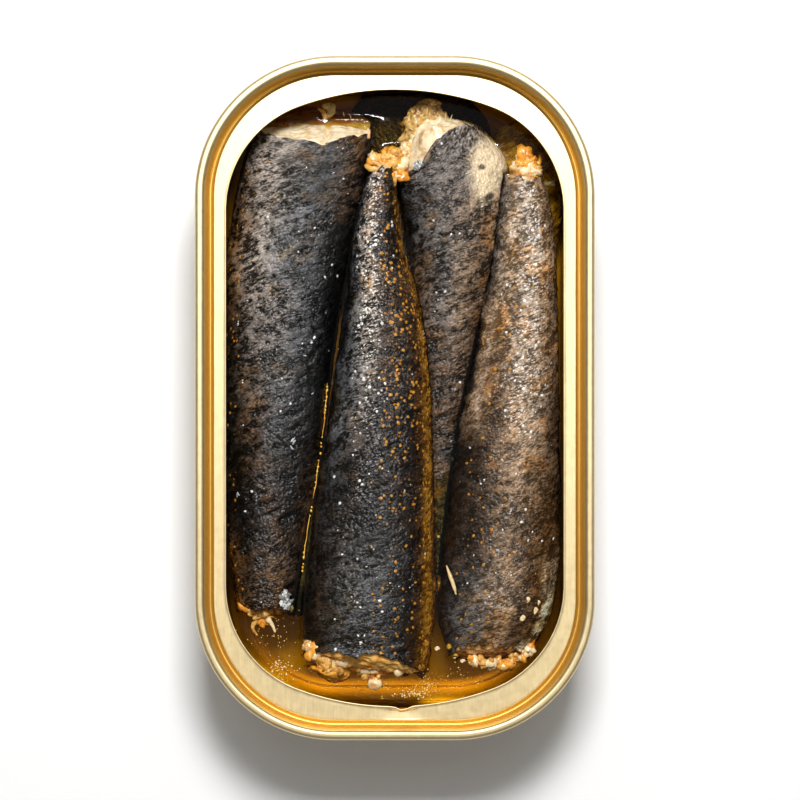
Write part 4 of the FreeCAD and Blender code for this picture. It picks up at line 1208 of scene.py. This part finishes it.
flap, flap_v = lump_body("flesh_flap", [(4.6, 38.2, 11.6, 8.0, 5.6, 28, 0, 0), (4.4, 41.6, 12.8, 7.2, 5.4, 12, 0, 0), (4.9, 44.6, 14.0, 5.6, 4.4, 0, 0, 0), (5.4, 46.8, 14.6, 2.8, 2.6, 0, 0, 0)],
                         amp=1.3, fibre=0.55, seed=81, node="loose_flap", tone=(srgb(250, 206, 120), srgb(120, 70, 20)))
show(flap, "flesh", "flesh_flap")
lump, lump_v = lump_body("flesh_lump", [(-10.8, -38.4, 13.0, 6.4, 5.0, -12, 0, 0), (-10.8, -40.6, 13.4, 7.6, 5.6, -12, 0, 0), (-10.4, -42.8, 13.3, 6.8, 4.8, -12, 0, 0), (-9.8, -44.6, 13.0, 3.4, 2.8, -12, 0, 0)],
                         amp=0.6, fibre=0.15, seed=83, node="loose_lump", tone=(srgb(255, 188, 72), srgb(240, 146, 32)), clear=("sardine_2",))
show(lump, "flesh", "flesh_lump")


def face_1(verts, hi, lo):
    # cream along the upper part of the cut, orange and wet below it
    k = step(43.4, 42.5, verts[:, 1] + 0.5 * noise(verts[:, 0] / 1.5, verts[:, 1] / 1.5, 0, 90))[:, None]
    wet_hi, wet_lo = srgb(240, 160, 48), srgb(206, 118, 22)
    return hi * k + wet_hi * (1 - k), lo * k + wet_lo * (1 - k)


def notch_1(X, Z):
    crease = np.exp(-((X - 2.4) / 0.35) ** 2) * step(0, 3.5, Z)
    return -0.8 * crease


show(plug("sardine_1_north_flesh", "sardine_1", 0, seed=101, amp=0.22, tone=(srgb(255, 240, 208), srgb(240, 206, 150)), colour=face_1, shape=notch_1, clear=("sardine_2",)), "flesh")
show(plug("sardine_1_south_flesh", "sardine_1", 1, bulge=0.6, seed=103, tone=(srgb(214, 150, 72), srgb(120, 66, 20))), "flesh")
show(plug("sardine_2_north_flesh", "sardine_2", 0, bulge=1.2, seed=105, tone=(srgb(226, 190, 132), srgb(140, 84, 32))), "flesh")
show(plug("sardine_2_south_flesh", "sardine_2", 1, size=(0.94, 0.88), bulge=1.0, seed=107, tone=(srgb(255, 208, 118), srgb(252, 164, 44)), shape=lambda X, Z: 1.3 * step(-1.0, 3.0, Z)), "flesh")
show(plug("sardine_3_north_flesh", "sardine_3", 0, size=(0.93, 0.92), bulge=1.0, power=3, amp=0.8, seed=109, tone=(srgb(250, 236, 200), srgb(226, 182, 122)),
          shape=lambda X, Z: 4.3 * np.exp(-((X - 0.4) / 5.4) ** 2) * step(-4.0, 1.0, Z)), "flesh")
show(plug("sardine_3_south_flesh", "sardine_3", 1, bulge=0.6, seed=111, tone=(srgb(150, 100, 52), srgb(70, 40, 16))), "flesh")
show(plug("sardine_4_north_flesh", "sardine_4", 0, bulge=1.0, seed=113, tone=(srgb(234, 196, 138), srgb(160, 96, 36))), "flesh")
show(plug("sardine_4_south_flesh", "sardine_4", 1, bulge=1.0, seed=115, tone=(srgb(255, 206, 136), srgb(206, 122, 44))), "flesh")


# ------------------------------------------------------------ small bits
def top_z(name, x, y):
    """The height of a sardine's smooth back there."""
    t = FISH[name].table
    order = np.argsort(t[:, 1])
    cx, cz, w, h, roll = (float(hermite(t[order, 1], t[order, k], [min(max(y, t[:, 1].min()), t[:, 1].max())])[0]) for k in (0, 2, 3, 4, 7))
    u = (x - cx) / (w / 2)
    return cz + h / 2 * math.sqrt(max(0.0, 1 - u * u)) + (x - cx) * math.sin(math.radians(roll))


GOLDEN = (srgb(236, 182, 92), srgb(176, 104, 26))
PALE = (srgb(248, 222, 172), srgb(214, 152, 78))
ORANGE = (srgb(248, 170, 56), srgb(206, 118, 20))
FLAKE = (srgb(240, 240, 236), srgb(150, 148, 146))
# painted highlight: the bright gold of glints on the oil
OIL_GLINT = (srgb(255, 200, 72), srgb(214, 138, 24))

bits = Heap()


def pile(points, z, size, tone, seed, jitter=0.35, count=4):
    """A run of small uneven lumps that touch each other."""
    for k, (x, y) in enumerate(points):
        for j in range(count):
            r = RNG.uniform(0.5, 1.3, 3)
            dx, dy, dz = RNG.normal(0, jitter, 3) * (j > 0)
            tn = tone[int(RNG.integers(len(tone)))] if isinstance(tone, list) else tone
            bits.blob((x + dx, y + dy, z + 0.4 * dz), (1.15 * size[0] * r[0], 1.15 * size[1] * r[1], size[2] * r[2]), RNG.uniform(0, 180), RNG.uniform(-30, 30), 0.5, seed + 7 * k + j, tn[0], tn[1], fine=j == 0)


# sardine 1's cut face: a curled flake over it, hairs, and a knob at its end
bits.strand([(-12.0, 45.2, 14.3), (-11.2, 44.7, 14.6), (-10.9, 43.7, 14.7), (-10.9, 43.0, 14.6)], [0.12, 0.35, 0.42, 0.15], 1, *GOLDEN, flat=0.6)
bits.blob((-10.1, 44.9, 14.5), (0.75, 1.25, 0.32), -20, 12, 0.5, 3, srgb(214, 184, 112), srgb(140, 92, 30))
bits.blob((-10.6, 45.6, 14.6), (0.85, 0.5, 0.3), 15, -10, 0.5, 5, srgb(206, 170, 96), srgb(132, 84, 26))
for x, y in [(-7.9, 44.0), (-6.8, 43.5), (-6.1, 42.9)]:
    bits.strand([(x, y, 14.4), (x - 0.1, y + 0.35, 14.7), (x - 0.15, y + 0.6, 14.9)], [0.07, 0.05, 0.03], 2, *PALE, around_n=6)
pile([(-17.9, 41.6), (-17.2, 42.3), (-16.3, 42.7)], 14.4, (0.55, 0.4, 0.35), ORANGE, 11)
pile([(-4.1, 41.2)], 15.2, (0.75, 0.5, 0.45), (srgb(255, 214, 164), srgb(226, 150, 84)), 13, count=1)
# torn flesh between the first three tips
bits.strand([(-4.6, 36.2, 17.4), (-4.0, 35.7, 18.0), (-3.1, 35.5, 18.3), (-2.0, 35.2, 18.1)], [0.25, 0.5, 0.5, 0.3], 3, *GOLDEN, flat=0.8)
bits.strand([(-4.1, 37.1, 17.3), (-3.4, 36.6, 17.9), (-2.6, 36.3, 18.0), (-1.9, 35.7, 17.9)], [0.2, 0.42, 0.4, 0.25], 4, *GOLDEN, flat=0.8)
pile([(-2.6, 36.9), (-1.4, 37.3), (-0.9, 36.2), (-1.0, 34.9), (-0.2, 37.4), (0.6, 36.2), (0.4, 35.0)], 16.8, (0.85, 1.15, 0.8), [GOLDEN, PALE, ORANGE], 21, 0.4)
# the rim of sardine 3
pile([(0.7, 37.2), (1.4, 38.2), (2.1, 38.9), (2.9, 39.6), (3.7, 40.4), (4.7, 41.1), (5.7, 41.7)], 15.6, (0.95, 0.75, 0.8), [PALE, PALE, GOLDEN], 41, 0.4)
for x, y, a in [(6.6, 43.6, 30), (7.2, 43.3, 15), (7.9, 43.5, -5), (8.6, 43.2, -20), (3.0, 41.6, 60), (5.9, 43.4, 40)]:
    c, d = math.cos(math.radians(a + 90)), math.sin(math.radians(a + 90))
    bits.strand([(x, y, 15.4), (x + 0.4 * c, y + 0.4 * d, 15.8), (x + 1.0 * c, y + 1.0 * d, 16.0)], [0.14, 0.10, 0.03], 14, *PALE, around_n=6)
bits.strand([(19.6, 35.4, 16.9), (19.3, 36.8, 17.0), (18.9, 37.8, 16.9)], [0.5, 0.45, 0.2], 15, *PALE, flat=0.8)
bits.strand([(21.6, 35.2, 16.6), (22.4, 36.6, 16.5), (22.6, 37.9, 16.0)], [0.45, 0.4, 0.15], 16, *ORANGE, flat=0.8)
bits.strand([(20.6, 36.0, 16.9), (20.5, 37.8, 17.2), (21.0, 39.0, 16.9)], [0.9, 1.0, 0.35], 17, *ORANGE, around_n=16, flat=0.6)
# sardine 4's tip
pile([(20.2, 37.9), (21.1, 36.7), (19.8, 36.4), (20.8, 35.4), (19.2, 35.5), (21.8, 35.2), (20.2, 34.6)], 17.0, (0.85, 1.0, 0.75), [GOLDEN, PALE, ORANGE], 61, 0.35)
bits.blob((24.2, 33.4, 14.6), (1.0, 0.55, 0.4), 10, 0, 0.4, 71, srgb(128, 108, 52), srgb(70, 52, 20))
# sardine 1's tail end
pile([(-23.8, -32.7), (-22.6, -33.3), (-21.4, -33.4), (-20.1, -33.2), (-19.0, -32.7), (-17.8, -32.6)], 14.5, (0.75, 0.5, 0.5), [ORANGE, GOLDEN], 81, 0.3)
bits.strand([(-21.8, -33.4, 14.5), (-21.8, -34.8, 14.4), (-22.2, -35.8, 14.3), (-21.5, -37.1, 14.3)], [0.5, 0.4, 0.28, 0.15], 5, *GOLDEN, flat=0.6)
bits.strand([(-20.6, -33.4, 14.5), (-19.7, -34.7, 14.4), (-19.1, -35.5, 14.3), (-18.7, -36.6, 14.3)], [0.5, 0.45, 0.3, 0.15], 6, *PALE, flat=0.6)
bits.blob((-20.7, -34.5, 14.0), (1.35, 1.3, 0.35), 10, 0, 0.5, 93, *ORANGE)
bits.blob((-21.2, -33.7, 14.3), (2.2, 0.6, 0.4), -8, 0, 0.4, 95, *ORANGE)
# sardine 2's end: lumps on the loose piece, a pale strip, and a crumb like a T
pile([(-13.3, -38.7), (-11.9, -39.3), (-10.4, -38.9), (-9.2, -40.0), (-11.2, -41.0), (-12.6, -40.3), (-10.0, -41.6), (-8.6, -41.2)], 15.5, (1.0, 0.8, 0.65), [GOLDEN, ORANGE, PALE, GOLDEN], 101, 0.45)
pile([(-8.0, -39.9), (-6.8, -40.1), (-5.4, -40.6), (-4.0, -41.0), (-2.6, -41.3), (-1.2, -41.8), (0.2, -42.2)], 15.4, (0.95, 0.5, 0.55), [PALE, PALE, GOLDEN], 121, 0.3)
pile([(-7.4, -41.3), (-5.8, -41.9), (-4.2, -42.3), (-2.6, -42.6)], 14.4, (0.85, 0.5, 0.45), [ORANGE, GOLDEN], 131, 0.3)
bits.strand([(-5.3, -42.7, 14.5), (-4.2, -42.5, 14.9), (-2.9, -42.6, 14.9), (-1.9, -42.4, 14.5)], [0.35, 0.55, 0.55, 0.3], 7, *PALE, flat=0.8)
bits.strand([(-3.5, -42.7, 14.6), (-3.5, -43.6, 14.6), (-3.1, -44.6, 14.5)], [0.5, 0.42, 0.55], 8, *GOLDEN, flat=0.8)
bits.blob((-3.1, -44.6, 14.5), (1.15, 1.0, 0.6), 0, 0, 0.22, 141, *PALE)
bits.blob((-4.4, -43.3, 14.5), (0.9, 0.55, 0.45), 30, 0, 0.45, 142, *GOLDEN)
bits.strand([(-13.8, -39.6, 14.0), (-11.4, -40.6, 14.2), (-8.6, -40.9, 14.2), (-5.6, -41.7, 13.9), (-2.6, -42.4, 13.8), (0.4, -42.9, 13.6)], [0.5, 1.5, 1.35, 1.0, 0.8, 0.3], 12, *ORANGE, around_n=24, flat=0.75)
# sardine 4's end
pile([(12.2, -40.7), (13.6, -41.2), (15.1, -41.5), (16.6, -41.6), (18.0, -41.2), (19.4, -40.4), (20.4, -39.2)], 14.7, (0.95, 0.6, 0.55), [ORANGE, GOLDEN, PALE], 151, 0.35)
for x, y, r in [(8.5, -38.8, 0.5), (6.6, -39.1, 0.4), (9.4, -40.3, 0.45), (10.6, -41.0, 0.4)]:
    bits.blob((x, y, 14.35), (r, 0.8 * r, 0.6 * r), 30, 0, 0.4, 160, *PALE)
for x, y, r in [(20.5, -31.3, 0.55), (22.2, -31.8, 0.45), (21.7, -33.0, 0.6), (19.8, -34.1, 0.5), (21.6, -25.9, 0.3), (21.6, -27.3, 0.3)]:
    bits.blob((x, y, top_z("sardine_4", x, y) + 0.05), (r, 0.8 * r, 0.4 * r), 50, 8, 0.4, 170, *PALE)
bits.strand([(8.0, -26.0, top_z("sardine_4", 8.6, -26.0) - 0.2), (8.6, -27.6, top_z("sardine_4", 9.2, -27.6) + 0.1), (9.2, -29.4, top_z("sardine_4", 9.4, -29.4) + 0.1), (9.5, -30.5, top_z("sardine_4", 9.5, -30.5))],
            [0.12, 0.3, 0.3, 0.1], 9, srgb(232, 206, 150), srgb(190, 140, 70), flat=0.6)
show(bits.make("flesh_bits", FLESH), "flesh")

# painted shadow: a near-black strand put down in the gap between the first two, where there is only shade
bits = Heap()
bits.strand([(-11.4, -9.0, 9.8), (-12.4, -15.0, 9.9), (-13.4, -21.0, 10.0), (-14.6, -27.5, 10.0), (-15.6, -32.6, 9.6), (-16.0, -35.0, 8.6)], [0.5, 1.4, 1.8, 2.2, 2.2, 0.5], 10, NEAR_BLACK, NEAR_BLACK * 0.5, around_n=28)
show(bits.make("painted_gap_shadow", FLESH), "skin")

# loose scales and shreds of silver skin
bits = Heap()
for fish_name, x, y, a, b, turn in [("sardine_1", -17.3, -30.6, 0.9, 1.1, 20), ("sardine_1", -17.0, -31.9, 0.8, 0.9, -30), ("sardine_1", -24.4, -14.9, 0.3, 0.5, 0),
                                    ("sardine_1", -15.9, -7.2, 0.4, 0.7, 10), ("sardine_3", 3.4, 36.0, 0.9, 0.55, 25), ("sardine_4", 16.6, -9.8, 0.35, 0.3, 0),
                                    ("sardine_4", 18.1, -17.2, 0.35, 0.3, 0), ("sardine_4", 16.0, -23.5, 0.4, 0.3, 20), ("sardine_4", 21.9, 24.4, 0.6, 1.3, 8), ("sardine_4", 22.1, 26.6, 0.45, 0.8, -8),
                                    ("sardine_2", 3.4, 18.2, 0.12, 0.8, -25), ("sardine_2", 4.3, 9.4, 0.12, 0.8, -30)]:
    for k in range(16 if a > 0.7 else 4):
        px, py = x + RNG.normal(0, 0.42 * a), y + RNG.normal(0, 0.55 * b)
        g = RNG.uniform(0.25, 1.0)
        bits.blob((px, py, top_z(fish_name, px, py) + 0.16 + 0.012 * k), (0.28 * a, 0.5 * b, 0.07), turn + RNG.normal(0, 35), RNG.normal(0, 12), 0.9, int(abs(x * 31)) + k, FLAKE[0] * g, FLAKE[1] * g)
show(bits.make("silver_flakes", FLESH), "flesh")

# beads of oil along the creases between the fish, in a bright gold that is a painted highlight of the oil's edge there
bits = Heap()
line_1 = np.array([(-8.1, 23.9), (-9.5, 14.4), (-10.2, 6.6), (-11.0, -3.7), (-11.8, -9.5), (-12.4, -13.8), (-13.3, -18.7), (-13.9, -22.5), (-14.5, -27.1)])
line_2 = np.array([(1.3, 22.9), (2.7, 18.5), (3.9, 12.3), (4.9, 3.2), (5.2, -6.4), (4.9, -13.0), (4.4, -24.8), (4.1, -32.5), (3.4, -38.5)])


def glint_bead_line(line, z, gaps, thick, thin, seed, density):
    order = np.argsort(line[:, 1])
    y0, y1 = line[:, 1].min(), line[:, 1].max()
    y = y1
    while y > y0:
        x = float(np.interp(y, line[order, 1], line[order, 0]))
        here = noise(y / 2.2, seed, 0, seed)
        if here > gaps:
            r = thick * RNG.uniform(0.6, 1.15)
            bits.blob((x + RNG.normal(0, 0.06), y, z + RNG.normal(0, 0.05)), (r, r * RNG.uniform(1.0, 1.8), r), RNG.uniform(-15, 15), 0, 0.15, seed, *OIL_GLINT, fine=False)
        y -= density * RNG.uniform(0.6, 1.5)
    ys = np.arange(y1, y0, -1.2)
    start = 0
    while start < len(ys) - 4:
        n = int(RNG.integers(4, 9))
        seg = ys[start:start + n]
        if len(seg) > 3:
            bits.strand([(float(np.interp(v, line[order, 1], line[order, 0])) + RNG.normal(0, 0.04), v, z) for v in seg], [0.02] + [thin] * (len(seg) - 2) + [0.02], seed, *OIL_GLINT, around_n=6)
        start += n + int(RNG.integers(0, 3))


glint_bead_line(line_1, 15.0, -0.25, 0.17, 0.07, 7, 0.75)
glint_bead_line(line_2, 15.1, -0.1, 0.15, 0.11, 9, 0.9)
show(bits.make("oil_glint_beads", FLESH), "oil")

# crumbs and bubbles afloat at the open end; the bubbles are coloured the bright gold of a painted highlight
bits = Heap()
for cx, cy, sx, sy, n, big in [(-17.8, -42.2, 1.9, 1.5, 70, 0.16), (5.0, -44.9, 1.1, 1.0, 40, 0.15), (3.2, -46.3, 2.6, 0.5, 60, 0.18), (0.0, -44.6, 13, 1.4, 90, 0.11), (-18.6, -37.0, 3.4, 2.6, 60, 0.10), (9.0, -43.2, 5, 1.4, 40, 0.11)]:
    for _ in range(n):
        x, y = RNG.normal(cx, sx * 0.6), RNG.normal(cy, sy * 0.6)
        room = CORNER - 1.9 - math.hypot(max(abs(x) - SPINE_X, 0), max(abs(y) - SPINE_Y, 0))
        if room < 0.3 or any(FISH[k].level(np.array([[x, y, 14.0]]), 0.3)[0] < 1 for k in ("sardine_1", "sardine_2", "sardine_4")):
            continue
        r = big * RNG.uniform(0.4, 1.2)
        c = OIL_GLINT if RNG.random() < 0.55 else PALE
        bits.blob((x, y, 14.02 + 0.3 * r + 0.5 * math.exp(-room / 0.8)), (r, r * RNG.uniform(0.7, 1.3), 0.6 * r), RNG.uniform(0, 180), 0, 0.2, 3, *c, fine=None)
show(bits.make("floating_crumbs", FLESH), "oil")

show(make_oil(), "oil", "oil")


# ------------------------------------------------------------ the set
def area(name, at, look_at, size, watts, size_y=None):
    light = bpy.data.lights.new(name, "AREA")
    light.shape = "RECTANGLE" if size_y else "SQUARE"
    light.size = size
    if size_y:
        light.size_y = size_y
    light.energy = watts
    obj = bpy.data.objects.new(name, light)
    obj.location = at
    obj.rotation_euler = (Vector(look_at) - Vector(at)).to_track_quat("-Z", "Y").to_euler()
    obj.visible_camera = False
    bpy.context.scene.collection.objects.link(obj)
    return obj


area("key", (0.02, 0.27, 0.56), (0, 0, 0.012), 0.15, 3.8)
area("overhead", (0, 0.60, 1.0), (0, 0.05, 0), 0.9, 2.0)

world = bpy.data.worlds.new("room")
bpy.context.scene.world = world
world.use_nodes = True
world.node_tree.nodes["Background"].inputs["Color"].default_value = (1, 1, 1, 1)
world.node_tree.nodes["Background"].inputs["Strength"].default_value = 0.20

bpy.ops.mesh.primitive_plane_add(size=3.0, location=(0, 0, 0))
floor = bpy.context.object
floor.name = "floor"
paper = Nodes("white_paper")
floor.data.materials.append(paper.finish(paper.principled(Base_Color=(0.95, 0.95, 0.95), Roughness=0.8)))

cam = bpy.data.cameras.new("camera")
cam.sensor_width = 36.0
cam.lens = 168.8
cam.clip_start, cam.clip_end = 0.05, 5.0
cam_obj = bpy.data.objects.new("camera", cam)
cam_obj.location = (0.000805, -0.00031, 0.6)
bpy.context.scene.collection.objects.link(cam_obj)
bpy.context.scene.camera = cam_obj
bpy.context.scene.view_settings.view_transform = "Standard"
